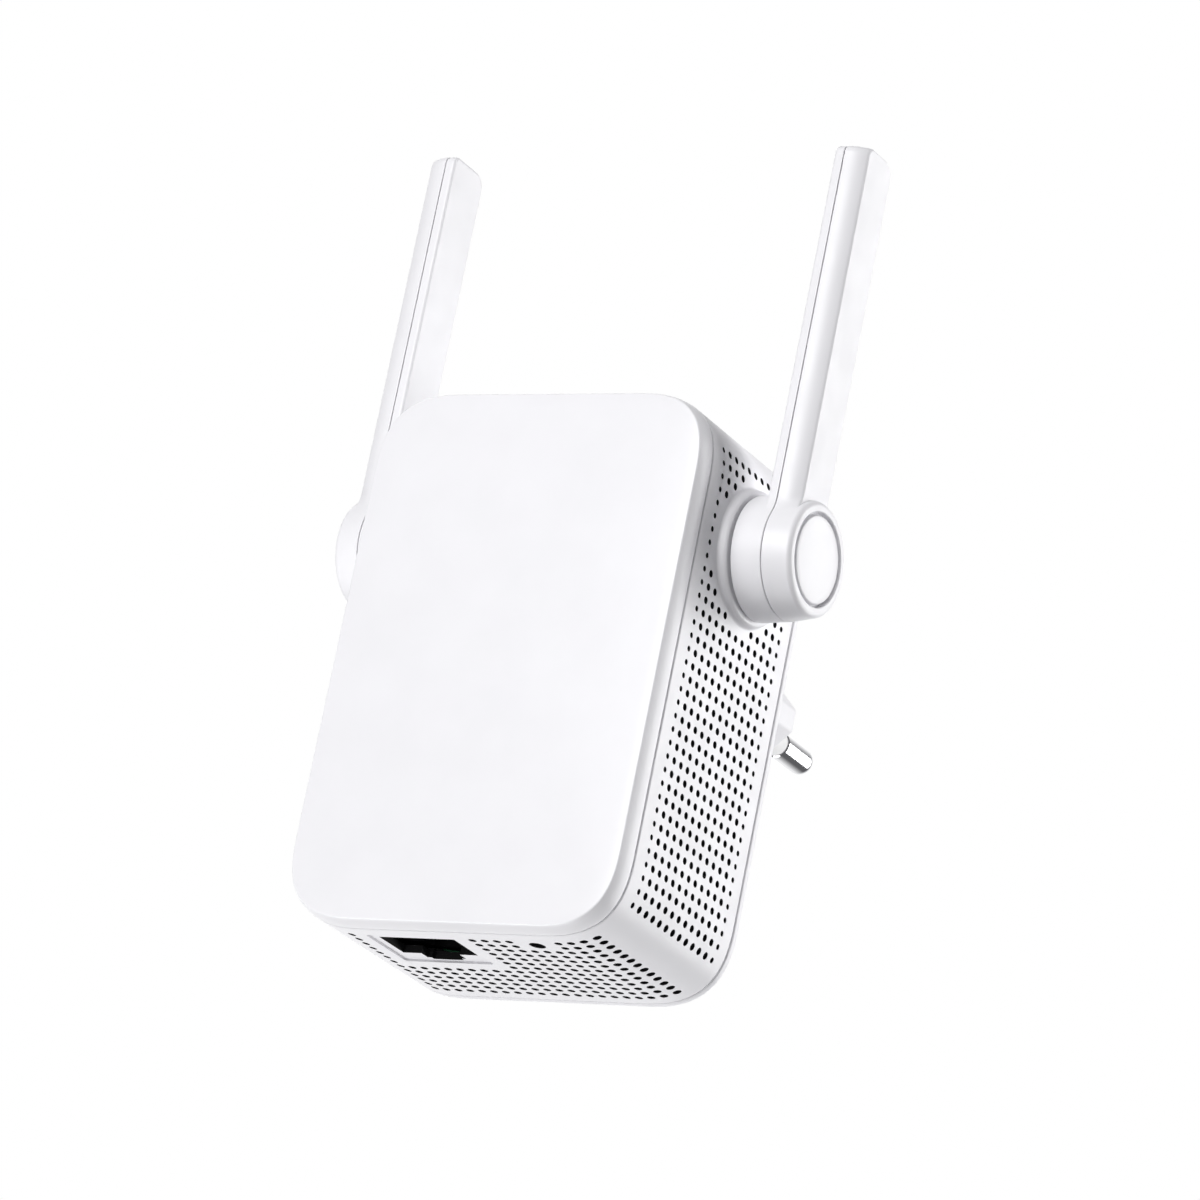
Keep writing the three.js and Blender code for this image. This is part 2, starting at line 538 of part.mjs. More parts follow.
function aerial(side, name) {
  const group = new THREE.Group();
  group.name = `aerial_${name}`;
  group.scale.x = side;
  object.add(group);
  const at = (distance) => SIDE + distance;
  const hub = ["x", 0, HUB_Y, HUB_Z];
  const jointLow = at(CLAMSHELL_JOINT - GAP / 2);
  const jointHigh = at(CLAMSHELL_JOINT + GAP / 2);
  const bladeOnly = block(0, FAR, -FAR, FAR, HUB_Z, FAR);

  const innerProfile = [
    [0, at(HUB_START)],
    [HUB_RADIUS, at(HUB_START)],
    [HUB_JOINT_RADIUS, jointLow],
    [0, jointLow],
  ];
  const innerDisc = turned(innerProfile, ...hub, 32);
  const innerBlade = sweepX(aerialOutline(0), at(BLADE_START), jointLow);
  const innerFillet = sweepX(bladeFillet(), at(BLADE_START), jointLow);
  const pocketFloor = at(HUB_START + BLADE_WALL);
  const innerPocket = rod(HUB_JOINT_RADIUS - BLADE_WALL, pocketFloor, jointLow + 1, ...hub, 28);
  const spindleHole = rod(SPINDLE_RADIUS + GAP, 0, FAR, ...hub, 24);
  const inner = cut(join(innerDisc, innerBlade, innerFillet), innerPocket, spindleHole);
  piece(`aerial_${name}_inner_shell`, inner, LOOK.satin(), group);

  const rimStart = at(HUB_END) - HUB_RIM;
  const outerProfile = [[0, jointHigh], [HUB_JOINT_RADIUS, jointHigh], [HUB_JOINT_RADIUS, rimStart]];
  for (let step = 1; step <= 3; step++) {
    const angle = (step / 3) * (Math.PI / 2);
    outerProfile.push([
      HUB_JOINT_RADIUS - HUB_RIM * (1 - Math.cos(angle)),
      rimStart + HUB_RIM * Math.sin(angle),
    ]);
  }
  outerProfile.push([0, at(HUB_END)]);
  const outerDisc = turned(outerProfile, ...hub, 32);
  const outerBlade = sweepX(aerialOutline(0), jointHigh, at(BLADE_END)).intersect(bladeOnly);
  const outerFillet = sweepX(bladeFillet(), jointHigh, at(BLADE_END));
  const outerPocket = sweepX(aerialOutline(BLADE_WALL), jointHigh - 1, at(BLADE_END - BLADE_WALL));
  const capSeat = rod(CAP_RADIUS + GAP, at(HUB_END - CAP_THICKNESS) - GAP, FAR, ...hub, 32);
  const capSocket = rod(CAP_STEM_RADIUS + GAP, jointHigh - 1, FAR, ...hub, 16);
  const capWall = rod(3.4, at(CAP_STEM_START), at(HUB_END - CAP_THICKNESS - 0.6), ...hub, 16);
  const hollowed = cut(join(outerDisc, outerBlade, outerFillet), outerPocket);
  const outer = cut(join(hollowed, capWall), capSeat, capSocket);
  piece(`aerial_${name}_outer_shell`, outer, LOOK.satin(), group);

  const capProfile = [
    [0, at(CAP_STEM_START)],
    [CAP_STEM_RADIUS, at(CAP_STEM_START)],
    [CAP_STEM_RADIUS, at(HUB_END - CAP_THICKNESS)],
    [CAP_RADIUS, at(HUB_END - CAP_THICKNESS)],
    [CAP_RADIUS, at(HUB_END) - 0.3],
    [CAP_RADIUS - 0.3, at(HUB_END)],
    [0, at(HUB_END) + 0.05],
  ];
  piece(`aerial_${name}_hub_cap`, turned(capProfile, ...hub, 28), LOOK.gloss(), group);

  const strip = { x0: at(ELEMENT.from), x1: at(ELEMENT.to), front: HUB_Y - 4.2, rear: HUB_Y - 0.6 };
  const element = join(
    block(strip.x0, strip.x1, strip.front, strip.rear, HUB_Z - 3, HUB_Z + BLADE_TOP - 5),
    block(strip.x0, strip.x1, strip.rear - 1, HUB_Y + 1.8, HUB_Z - 3, HUB_Z + 2),
  );
  piece(`aerial_${name}_element`, element, LOOK.brass(), group);

  const flangeStart = pocketFloor + GAP;
  const flangeEnd = at(SPINDLE_FLANGE.end);
  const spindleTip = at(-SPINDLE_REACH);
  const spindleProfile = [
    [SPINDLE_BORE, spindleTip],
    [SPINDLE_RADIUS, spindleTip],
    [SPINDLE_RADIUS, flangeStart],
    [SPINDLE_FLANGE.radius, flangeStart],
    [SPINDLE_FLANGE.radius, flangeEnd],
    [SPINDLE_BORE, flangeEnd],
    [SPINDLE_BORE, spindleTip],
  ];
  piece(`aerial_${name}_spindle`, turned(spindleProfile, ...hub, 20), LOOK.nylon(), group);
  const hole = SPINDLE_RADIUS + GAP;
  piece(`aerial_${name}_retainer`, ring(hole, 5.4, at(-5.2), at(-3.9), ...hub, 20), LOOK.steel(), group);
  const washer = ring(hole, 5.8, at(-3.5), at(-WALL - GAP), ...hub, 20);
  piece(`aerial_${name}_washer`, washer, LOOK.black(), group);

  const plugStart = BOARD_REAR_Y + GAP;
  const plugEnd = plugStart + COAX_PLUG.height;
  const lead = tube(
    [
      new THREE.Vector3(at(ELEMENT.from - GAP), HUB_Y, HUB_Z),
      new THREE.Vector3(at(-3), HUB_Y, HUB_Z),
      new THREE.Vector3(at(-7.5), HUB_Y - 0.6, HUB_Z - 0.4),
      new THREE.Vector3(at(-10.5), HUB_Y - 4, HUB_Z - 3),
      new THREE.Vector3(COAX_PLUG.x + 0.3, HUB_Y - 8, COAX_PLUG.z + 1.6),
      new THREE.Vector3(COAX_PLUG.x, plugEnd + GAP, COAX_PLUG.z),
    ],
    0.7,
    26,
  );
  piece(`coax_lead_${name}`, lead, LOOK.cable(), group);
  const plug = rod(COAX_PLUG.radius, plugStart, plugEnd, "y", COAX_PLUG.x, 0, COAX_PLUG.z, 12);
  piece(`coax_plug_${name}`, plug, LOOK.brass(), group);
}

frontCover();
middleShell();
rearCover();
plugPin(-1, "left");
plugPin(1, "right");
mainBoard();
powerBoard();
networkSocket();
resetSwitch();
aerial(-1, "left");
aerial(1, "right");

export default object;
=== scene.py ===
"""Looks of the plug-in wifi range extender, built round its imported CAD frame.
Lengths are in millimetres until a mesh is made, and MM turns them into metres."""

import bmesh
import bpy
import json
import math
from mathutils import Euler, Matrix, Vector
from mathutils.geometry import delaunay_2d_cdt


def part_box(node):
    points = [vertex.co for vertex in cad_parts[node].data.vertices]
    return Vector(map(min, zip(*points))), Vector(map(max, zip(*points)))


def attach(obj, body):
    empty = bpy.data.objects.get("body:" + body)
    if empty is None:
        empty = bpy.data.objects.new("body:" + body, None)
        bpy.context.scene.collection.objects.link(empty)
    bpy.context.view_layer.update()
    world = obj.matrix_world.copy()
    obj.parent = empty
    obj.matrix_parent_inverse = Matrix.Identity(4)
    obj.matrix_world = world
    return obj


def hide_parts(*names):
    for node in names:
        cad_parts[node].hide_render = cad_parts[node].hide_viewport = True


MM = 0.001

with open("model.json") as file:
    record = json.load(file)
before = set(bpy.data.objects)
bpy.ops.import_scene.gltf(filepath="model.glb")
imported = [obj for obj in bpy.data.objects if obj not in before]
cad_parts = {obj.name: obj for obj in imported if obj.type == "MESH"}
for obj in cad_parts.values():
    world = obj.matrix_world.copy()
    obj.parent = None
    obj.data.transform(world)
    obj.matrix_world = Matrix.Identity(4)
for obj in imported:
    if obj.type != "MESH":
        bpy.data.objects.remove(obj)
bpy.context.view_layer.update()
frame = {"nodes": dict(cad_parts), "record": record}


def box_mm(node):
    low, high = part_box(node)
    return Vector(low) / MM, Vector(high) / MM


# ---- camera and light ----
CAMERA_AIM = Vector((5.3, -39.98, 3.72))
CAMERA_DISTANCE = 977.8
CAMERA_AZIMUTH = math.radians(32.105)
CAMERA_LOOKS_UP = math.radians(17.829)
CAMERA_ROLL = math.radians(11.422)
CAMERA_LENS = 204.88
LIGHT_AIM = Vector((0, -38, 0))
BACKDROP_RISE = math.radians(12)  # the height of the backdrop's lightest point, behind the object
BACKDROP_FADE = 0.55, 0.9  # cosines of the angles to that point between which it lightens
WORLD_DIM = (0.13, 0.13, 0.134)
WORLD_PALE = (0.62, 0.62, 0.63)


def heading(azimuth, rise):
    """Unit vector that looks along +Y at azimuth 0, turned towards -X, and up by `rise`."""
    level = math.cos(rise)
    return Vector((-math.sin(azimuth) * level, math.cos(azimuth) * level, math.sin(rise)))


def add_camera():
    data = bpy.data.cameras.new("camera")
    data.lens = CAMERA_LENS
    data.sensor_width = 36
    data.clip_start = 0.05
    data.clip_end = 50
    camera = bpy.data.objects.new("camera", data)
    look = heading(CAMERA_AZIMUTH, CAMERA_LOOKS_UP)
    turn = look.to_track_quat("-Z", "Y").to_matrix() @ Euler((0, 0, CAMERA_ROLL)).to_matrix()
    camera.matrix_world = turn.to_4x4()
    camera.location = (CAMERA_AIM - look * CAMERA_DISTANCE) * MM
    bpy.context.scene.collection.objects.link(camera)
    bpy.context.scene.camera = camera


def add_light(name, place, size, watts):
    data = bpy.data.lights.new(name, "AREA")
    data.shape = "RECTANGLE"
    data.size, data.size_y = size
    data.energy = watts
    light = bpy.data.objects.new(name, data)
    light.location = Vector(place) * MM
    look = (LIGHT_AIM - Vector(place)).normalized()
    light.rotation_mode = "QUATERNION"
    light.rotation_quaternion = look.to_track_quat("-Z", "Y")
    bpy.context.scene.collection.objects.link(light)


def add_world():
    """A backdrop that is lightest behind the object. It looks paler than the light it gives."""
    world = bpy.data.worlds.new("studio")
    world.use_nodes = True
    nodes, links = world.node_tree.nodes, world.node_tree.links
    background = nodes["Background"]
    background.inputs["Strength"].default_value = 1.0
    coordinates = nodes.new("ShaderNodeTexCoord")
    dot = nodes.new("ShaderNodeVectorMath")
    dot.operation = "DOT_PRODUCT"
    dot.inputs[1].default_value = heading(CAMERA_AZIMUTH, BACKDROP_RISE)
    links.new(coordinates.outputs["Generated"], dot.inputs[0])

    def backdrop(dim):
        ramp = nodes.new("ShaderNodeValToRGB")
        for element, position, colour in zip(ramp.color_ramp.elements, BACKDROP_FADE, (dim, (1, 1, 1))):
            element.position = position
            element.color = (*colour, 1)
        links.new(dot.outputs["Value"], ramp.inputs["Fac"])
        return ramp.outputs["Color"]

    mix = nodes.new("ShaderNodeMix")
    mix.data_type = "RGBA"
    links.new(nodes.new("ShaderNodeLightPath").outputs["Is Camera Ray"], mix.inputs["Factor"])
    links.new(backdrop(WORLD_DIM), mix.inputs["A"])
    links.new(backdrop(WORLD_PALE), mix.inputs["B"])
    links.new(mix.outputs["Result"], background.inputs["Color"])
    bpy.context.scene.world = world


scene = bpy.context.scene
scene.view_settings.view_transform = "Standard"
scene.view_settings.look = "None"
add_camera()
add_world()
add_light("front_softbox", (-10, -690, 150), (0.4, 0.4), 4.15)
add_light("side_softbox", (350, 350, 60), (0.32, 0.6), 3.05)
add_light("top_softbox", (-250, -250, 800), (0.5, 0.5), 0.6)
add_light("low_softbox", (-120, -60, -390), (0.3, 0.3), 1.22)


# ---- materials ----
NOISE_RANGE = 0.3, 0.7  # the part of the noise that is spread over a material's range
CLOUD_SIZE, GLOSS_SIZE = 9, 3.5
GRAIN_STRENGTH = 0.35
LINE_SCALE, LINE_STRETCH = 9000, 0.06  # the drawn lines of a metal, stretched along Y
LINE_DEPTH, LINE_STRENGTH = 0.002, 0.15
LINE_SHADE = 0.94


def socket(shader, name, value):
    shader.inputs[name].default_value = value


def plastic(name, colour, rough, grain=0.12, grain_depth=0.004, mottle=0.012, spread=0.05):
    """Moulded plastic: a fine grain, an uneven gloss and a faint cloudiness in the colour."""
    material = bpy.data.materials.new(name)
    material.use_nodes = True
    nodes, links = material.node_tree.nodes, material.node_tree.links
    shader = nodes["Principled BSDF"]
    place = nodes.new("ShaderNodeTexCoord").outputs["Object"]

    def noise(size_mm, detail):
        node = nodes.new("ShaderNodeTexNoise")
        node.inputs["Scale"].default_value = 1 / (size_mm * MM)
        node.inputs["Detail"].default_value = detail
        links.new(place, node.inputs["Vector"])
        return node.outputs["Fac"]

    def between(source, low, high):
        node = nodes.new("ShaderNodeMapRange")
        node.inputs["From Min"].default_value, node.inputs["From Max"].default_value = NOISE_RANGE
        node.inputs["To Min"].default_value = low
        node.inputs["To Max"].default_value = high
        links.new(source, node.inputs["Value"])
        return node.outputs["Result"]

    mix = nodes.new("ShaderNodeMix")
    mix.data_type = "RGBA"
    mix.inputs["A"].default_value = (*[max(0, c * (1 - mottle)) for c in colour], 1)
    mix.inputs["B"].default_value = (*[min(1, c * (1 + mottle)) for c in colour], 1)
    links.new(between(noise(CLOUD_SIZE, 3), 0, 1), mix.inputs["Factor"])
    links.new(mix.outputs["Result"], shader.inputs["Base Color"])
    links.new(between(noise(GLOSS_SIZE, 4), rough - spread, rough + spread), shader.inputs["Roughness"])
    bump = nodes.new("ShaderNodeBump")
    bump.inputs["Strength"].default_value = GRAIN_STRENGTH
    bump.inputs["Distance"].default_value = grain_depth * MM
    links.new(noise(grain, 2), bump.inputs["Height"])
    links.new(bump.outputs["Normal"], shader.inputs["Normal"])
    return material


def metal(name, colour, rough, scratch=0.06):
    """Plated or drawn metal: fine lines along the part and a slightly uneven polish."""
    material = bpy.data.materials.new(name)
    material.use_nodes = True
    nodes, links = material.node_tree.nodes, material.node_tree.links
    shader = nodes["Principled BSDF"]
    socket(shader, "Metallic", 1.0)
    place = nodes.new("ShaderNodeTexCoord").outputs["Object"]
    stretch = nodes.new("ShaderNodeMapping")
    stretch.inputs["Scale"].default_value = (1, LINE_STRETCH, 1)
    links.new(place, stretch.inputs["Vector"])
    lines = nodes.new("ShaderNodeTexNoise")
    lines.inputs["Scale"].default_value = LINE_SCALE
    lines.inputs["Detail"].default_value = 3
    links.new(stretch.outputs["Vector"], lines.inputs["Vector"])
    range_node = nodes.new("ShaderNodeMapRange")
    range_node.inputs["To Min"].default_value = max(0.02, rough - scratch)
    range_node.inputs["To Max"].default_value = rough + scratch
    links.new(lines.outputs["Fac"], range_node.inputs["Value"])
    links.new(range_node.outputs["Result"], shader.inputs["Roughness"])
    tint = nodes.new("ShaderNodeMix")
    tint.data_type = "RGBA"
    tint.inputs["A"].default_value = (*[c * LINE_SHADE for c in colour], 1)
    tint.inputs["B"].default_value = (*colour, 1)
    links.new(lines.outputs["Fac"], tint.inputs["Factor"])
    links.new(tint.outputs["Result"], shader.inputs["Base Color"])
    bump = nodes.new("ShaderNodeBump")
    bump.inputs["Strength"].default_value = LINE_STRENGTH
    bump.inputs["Distance"].default_value = LINE_DEPTH * MM
    links.new(lines.outputs["Fac"], bump.inputs["Height"])
    links.new(bump.outputs["Normal"], shader.inputs["Normal"])
    return material


WHITE = (0.885, 0.88, 0.905)
LOOKS = {
    "white_gloss": plastic("white_gloss", WHITE, 0.32, grain=0.12, grain_depth=0.002, spread=0.03),
    "white_satin": plastic("white_satin", WHITE, 0.38, grain=0.14, grain_depth=0.004),
    "white_sleeve": plastic("white_sleeve", (0.86, 0.86, 0.86), 0.45, grain=0.1),
    "pin_chrome": metal("pin_chrome", (0.82, 0.82, 0.84), 0.1, 0.03),
    "brass": metal("brass", (0.78, 0.58, 0.28), 0.36),
    "steel": metal("steel", (0.6, 0.61, 0.63), 0.36),
    "board_green": plastic("board_green", (0.02, 0.13, 0.06), 0.4, grain=0.4, mottle=0.25),
    "black_plastic": plastic("black_plastic", (0.012, 0.012, 0.013), 0.42, mottle=0.2),
    "rubber": plastic("rubber", (0.015, 0.015, 0.015), 0.75, mottle=0.2),
    "tape_yellow": plastic("tape_yellow", (0.62, 0.42, 0.05), 0.4, mottle=0.1),
    "dark_plastic": plastic("dark_plastic", (0.03, 0.03, 0.035), 0.5, mottle=0.2),
    "cable_grey": plastic("cable_grey", (0.06, 0.06, 0.065), 0.5, mottle=0.15),
    # painted shade: a near-black that stands for the dark inside of the case, seen through the vents and
    # the socket opening
    "painted_vent_shade": plastic("painted_vent_shade", (0.012, 0.012, 0.013), 0.7, mottle=0.2),
    "nylon": plastic("nylon", (0.62, 0.62, 0.58), 0.5, mottle=0.05),
}
SLOT_OF = {part["node"]: part["material_slot"] for part in frame["record"]["subparts"]}


# ---- meshes ----
SHARP_ANGLE = math.radians(32)


class Shape:
    """Faces that share the corners they meet at. A face may carry its true surface normals, and a face may
    be painted near-black as shade.
    """

    def __init__(self):
        self.index = {}
        self.points = []
        self.faces = []
        self.normals = []
        self.painted_shade = []

    def corner(self, point):
        key = (round(point[0], 4), round(point[1], 4), round(point[2], 4))
        if key not in self.index:
            self.index[key] = len(self.points)
            self.points.append(key)
        return self.index[key]

    def face(self, points, outward=None, normals=None, painted_shade=False):
        """Adds a face that looks along `outward`, which need only be roughly right."""
        ids = []
        for point in points:
            i = self.corner(point)
            if i not in ids:
                ids.append(i)
        if len(ids) < 3:
            return
        if normals and len(ids) != len(points):
            normals = None
        if outward is not None:
            total = Vector((0, 0, 0))
            corners = [Vector(self.points[i]) for i in ids]
            for a, b in zip(corners, corners[1:] + corners[:1]):
                total += a.cross(b)
            if total.dot(Vector(outward)) < 0:
                ids.reverse()
                normals = list(reversed(normals)) if normals else None
        self.faces.append(ids)
        self.normals.append(normals or [(0, 0, 0)] * len(ids))
        self.painted_shade.append(painted_shade)

    def mesh(self, name):
        """A closed mesh with its faces turned outwards."""
        mesh = bpy.data.meshes.new(name)
        mesh.from_pydata([(x * MM, y * MM, z * MM) for x, y, z in self.points], [], self.faces)
        work = bmesh.new()
        work.from_mesh(mesh)
        bmesh.ops.recalc_face_normals(work, faces=work.faces)
        work.to_mesh(mesh)
        work.free()
        return mesh

    def add(self, name, slot, body, stands_for, flip_x=False):
        points = [(-x if flip_x else x, y, z) for x, y, z in self.points]
        faces = [list(reversed(f)) if flip_x else f for f in self.faces]
        mesh = bpy.data.meshes.new(name)
        mesh.from_pydata([(x * MM, y * MM, z * MM) for x, y, z in points], [], faces)
        mesh.update()
        mesh.shade_smooth()
        mesh.set_sharp_from_angle(angle=SHARP_ANGLE)
        if any(any(n != (0, 0, 0) for n in f) for f in self.normals):
            given = []
            for f in self.normals:
                row = [(-n[0], n[1], n[2]) for n in reversed(f)] if flip_x else f
                given.extend(row)
            mesh.normals_split_custom_set(given)
        mesh.materials.append(LOOKS[slot])
        # faces flagged painted_shade get the near-black material: painted shade inside the case
        if any(self.painted_shade):
            mesh.materials.append(LOOKS["painted_vent_shade"])
            mesh.polygons.foreach_set("material_index", [int(dark) for dark in self.painted_shade])
        piece = bpy.data.objects.new(name, mesh)
        bpy.context.scene.collection.objects.link(piece)
        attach(piece, body)
        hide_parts(*stands_for)


def join_rings(shape, rings):
    """Quads between rings of equal length."""
    count = len(rings[0])
    for ring, following in zip(rings, rings[1:]):
        for i in range(count):
            j = (i + 1) % count
            shape.face([ring[i], ring[j], following[j], following[i]])


def loft(shape, rings, end_cap=True):
    """Joined rings with the first one closed, and the last one too unless something else closes it."""
    join_rings(shape, rings)
    shape.face(list(reversed(rings[0])))
    if end_cap:
        shape.face(rings[-1])


def arc(radius, steps, start=0.0, end=90.0):
    """Pairs (cosine, sine) times radius from start to end, in degrees."""
    for step in range(steps + 1):
        angle = math.radians(start + (end - start) * step / steps)
        yield radius * math.cos(angle), radius * math.sin(angle)


# ---- outline of the case ----
cover_low, cover_high = box_mm("front_cover")
shell_high = box_mm("middle_shell")[1]
SIDE = cover_high.x
MIDDLE = (cover_low.z + cover_high.z) / 2
HALF_HEIGHT = (cover_high.z - cover_low.z) / 2
REACH = 13.0  # how far each corner reaches along its two sides
POWER = 2.8  # of the curve of the corners, which is squarer than a circle
SEAM = 0.25


def corner_slope(depth):
    """How far one side has drawn in at a point `depth` into a corner along the other, and the normal."""
    along = min(max(depth / REACH, 0.0), 1.0)
    across = (1 - along**POWER) ** (1 / POWER)
    normal = Vector((across ** (POWER - 1), along ** (POWER - 1)))
    return REACH * (1 - across), normal.normalized()


def wall_at(z):
    """Half width of the case at height z, and the wall's normal as (x, z)."""
    drawn, normal = corner_slope(abs(z - MIDDLE) - (HALF_HEIGHT - REACH))
    return SIDE - drawn, Vector((normal.x, math.copysign(normal.y, z - MIDDLE)))


def roof_at(x):
    """Half height of the case at x, and the roof's normal as (x, z)."""
    drawn, normal = corner_slope(abs(x) - (SIDE - REACH))
    return HALF_HEIGHT - drawn, Vector((math.copysign(normal.y, x), normal.x))


def corner_point(angle, sign_x, sign_z):
    """Point and normal on a corner of the case, at an angle from the wall (0) to the roof (90 degrees)."""
    c, s = math.cos(angle), math.sin(angle)
    radius = 1 / (c**POWER + s**POWER) ** (1 / POWER)
    u, v = radius * c, radius * s
    x, z = SIDE - REACH + REACH * u, HALF_HEIGHT - REACH + REACH * v
    normal = Vector((sign_x * u ** (POWER - 1), sign_z * v ** (POWER - 1))).normalized()
    return Vector((sign_x * x, MIDDLE + sign_z * z)), normal


def case_outline(steps=28):
    """Points and normals round the case, counter-clockwise from the right wall's upper corner."""
    outline = []
    for sign_x, sign_z in ((1, 1), (-1, 1), (-1, -1), (1, -1)):
        for step in range(steps + 1):
            turn = math.pi / 2 * step / steps
            angle = turn if sign_x * sign_z > 0 else math.pi / 2 - turn
            outline.append(corner_point(angle, sign_x, sign_z))
    return outline


OUTLINE = case_outline()


def ring_at(inset, y, outline=OUTLINE):
    """The outline drawn in by `inset` and placed at depth y."""
    return [(p.x - n.x * inset, y, p.y - n.y * inset) for p, n in outline]


# ---- front cover ----
COVER_JOINT = -52.7
BAND_DEPTH, BAND_LEAN = 2.75, 20.0  # the edge band curves in from the seam to the crease
CREASE_RADIUS = 0.3
CROWN_SLOPE = 4.0  # the face rises from the crease to its middle
CROWN_RINGS, CROWN_SPAN = 18, 0.985  # rings over the face, and the share of it that they cross
COVER_WALL = 1.8
EDGE = 0.22


def bend(start, radius, from_angle, to_angle, steps):
    """(inset, y) pairs that turn from facing the side (0 degrees) towards facing the front (90 degrees)."""
    first = math.radians(from_angle)
    for step in range(1, steps + 1):
        angle = math.radians(from_angle + (to_angle - from_angle) * step / steps)
        inset = start[0] + radius * (math.cos(first) - math.cos(angle))
        yield inset, start[1] - radius * (math.sin(angle) - math.sin(first))


def front_cover():
    front = cover_low.y
    joint = COVER_JOINT - SEAM / 2
    inside_face = front + COVER_WALL
    profile = [(COVER_WALL + 1, inside_face), (COVER_WALL, inside_face + 1), (COVER_WALL, joint)]
    profile += [(EDGE - c, joint - EDGE + s) for c, s in reversed(list(arc(EDGE, 3)))]
    band = BAND_DEPTH / math.sin(math.radians(BAND_LEAN))
    profile += list(bend(profile[-1], band, 0, BAND_LEAN, 8))
    profile += list(bend(profile[-1], CREASE_RADIUS, BAND_LEAN, 90 - CROWN_SLOPE, 5))
    rings = [ring_at(inset, y) for inset, y in profile]
    edge = rings[-1]
    crown = edge[0][1] - front
    for step in range(1, CROWN_RINGS + 1):
        share = 1 - step / CROWN_RINGS * CROWN_SPAN
        y = front + crown * share**2
        rings.append([(x * share, y, MIDDLE + (z - MIDDLE) * share) for x, _, z in edge])
    shape = Shape()
    loft(shape, rings[::-1])
    shape.add("cover_front", "white_gloss", "case", ["front_cover"])


front_cover()


# ---- vented middle shell ----
PITCH = 2.0
VENT_RADIUS = 0.55
EDGE_VENT_RADIUS = 0.43  # in the first and last column of each side
FLAT_VENT_RADIUS = 0.62  # the vents of the top and the bottom are a little wider
VENT_SIDES = 12
# how far into a vent its wall stays white before the painted shade begins
VENT_RIM = 0.05
SHELL_THICKNESS = 1.5
COLUMN_START = -49.4
COLUMNS = 13
ROW_START = -45.0
ROWS = 35
BOTTOM_START = -18.3
BOTTOM_COLUMNS = 21
SIDE_LOW, SIDE_HIGH = ROW_START - PITCH / 2, ROW_START + (ROWS - 0.5) * PITCH
FLAT_LOW, FLAT_HIGH = BOTTOM_START - PITCH, BOTTOM_START + (BOTTOM_COLUMNS - 0.5) * PITCH
SHELL_FRONT = COVER_JOINT + SEAM / 2
SHELL_REAR = shell_high.y
RIM = 0.3  # the plain rim in front of and behind the vented patches
PATCH_FRONT, PATCH_REAR = SHELL_FRONT + RIM, SHELL_REAR - RIM
DEPTH_STEPS = 14
CLOSE = 1e-6

cap_low, cap_high = box_mm("aerial_right_hub_cap")
HUB = Vector(((cap_low.y + cap_high.y) / 2, (cap_low.z + cap_high.z) / 2))
FLARE_RADIUS = 10.25
SHOULDER_RADIUS = 9.85
LEDGE_RADIUS = 9.28
SHOULDER_RISE = 0.45  # share of the boss's height where its hollow foot ends
FLARE_STEPS = 8
BOSS_FACE = shell_high.x
BOSS_BORE = 3.5
VENT_FREE_RADIUS = 10.82
FLARE_CLEAR, EXTRA_CLEAR = 0.4, 0.3  # how far the points between the vents stay from edges

JACK_X = -8.2
JACK_FRAME = (-15.6, -0.8, -50.1, -38.5)
JACK_OPENING = [
    (-6.2, -48.4), (6.2, -48.4), (6.2, -41.4), (3.2, -41.4), (3.2, -39.6), (2.5, -39.6), (2.5, -38.9),
    (-2.5, -38.9), (-2.5, -39.6), (-3.2, -39.6), (-3.2, -41.4), (-6.2, -41.4),
]
FRAME_DEPTH = 0.35
FRAME_CORNER = 0.5
FRAME_CLEAR_LEFT, FRAME_CLEAR = 0.9, 1.4  # no vents this close to the socket's recess
RESET_CENTRE = (11.64, -48.2)
RESET_RADIUS = 1.25
RESET_CLEAR_X, RESET_CLEAR_Y = 2.6, 1.6


def circle(centre, radius, sides):
    turns = [2 * math.pi * i / sides for i in range(sides)]
    return [(centre[0] + radius * math.cos(t), centre[1] + radius * math.sin(t)) for t in turns]


def inside(point, loop):
    """True if the point lies within the closed loop."""
    hit = False
    for (ax, ay), (bx, by) in zip(loop, loop[1:] + loop[:1]):
        if (ay > point[1]) != (by > point[1]):
            if point[0] < ax + (point[1] - ay) * (bx - ax) / (by - ay):
                hit = not hit
    return hit


def triangles(border, loops, extra=()):
    """Triangles that fill border round the loops, as index triples into the returned points."""
    points, edges, owner = [], [], []
    for label, loop in enumerate([border, *loops]):
        start = len(points)
        points += [Vector(p) for p in loop]
        owner += [label] * len(loop)
        edges += [(start + i, start + (i + 1) % len(loop)) for i in range(len(loop))]
    points += [Vector(p) for p in extra]
    owner += [-1] * len(extra)
    _, _, faces, origin, _, _ = delaunay_2d_cdt(points, edges, [], 0, CLOSE)
    found = []
    for face in faces:
        ids = [origin[i][0] for i in face]
        owners = {owner[i] for i in ids}
        if len(owners) == 1 and owners.pop() > 0:
            label = owner[ids[0]]
            middle = sum((points[i] for i in ids), Vector((0, 0))) / 3
            if inside(middle, loops[label - 1]):
                continue
        found.append(ids)
    return points, found


def steps_between(low, high, count):
    return [low + (high - low) * i / count for i in range(count + 1)]


DEPTHS = steps_between(PATCH_FRONT, PATCH_REAR, DEPTH_STEPS)
HEIGHTS = steps_between(SIDE_LOW, SIDE_HIGH, int(SIDE_HIGH - SIDE_LOW))
WIDTHS = steps_between(FLAT_LOW, FLAT_HIGH, int(FLAT_HIGH - FLAT_LOW))


def frame_border(across, along):
    """A rectangle's outline with every point in the two lists on its sides."""
    low, high = across[0], across[-1]
    first, last = along[0], along[-1]
    border = [(low, v) for v in along[:-1]]
    border += [(u, last) for u in across[:-1]]
    border += [(high, v) for v in reversed(along[1:])]
    border += [(u, first) for u in reversed(across[1:])]
    return border


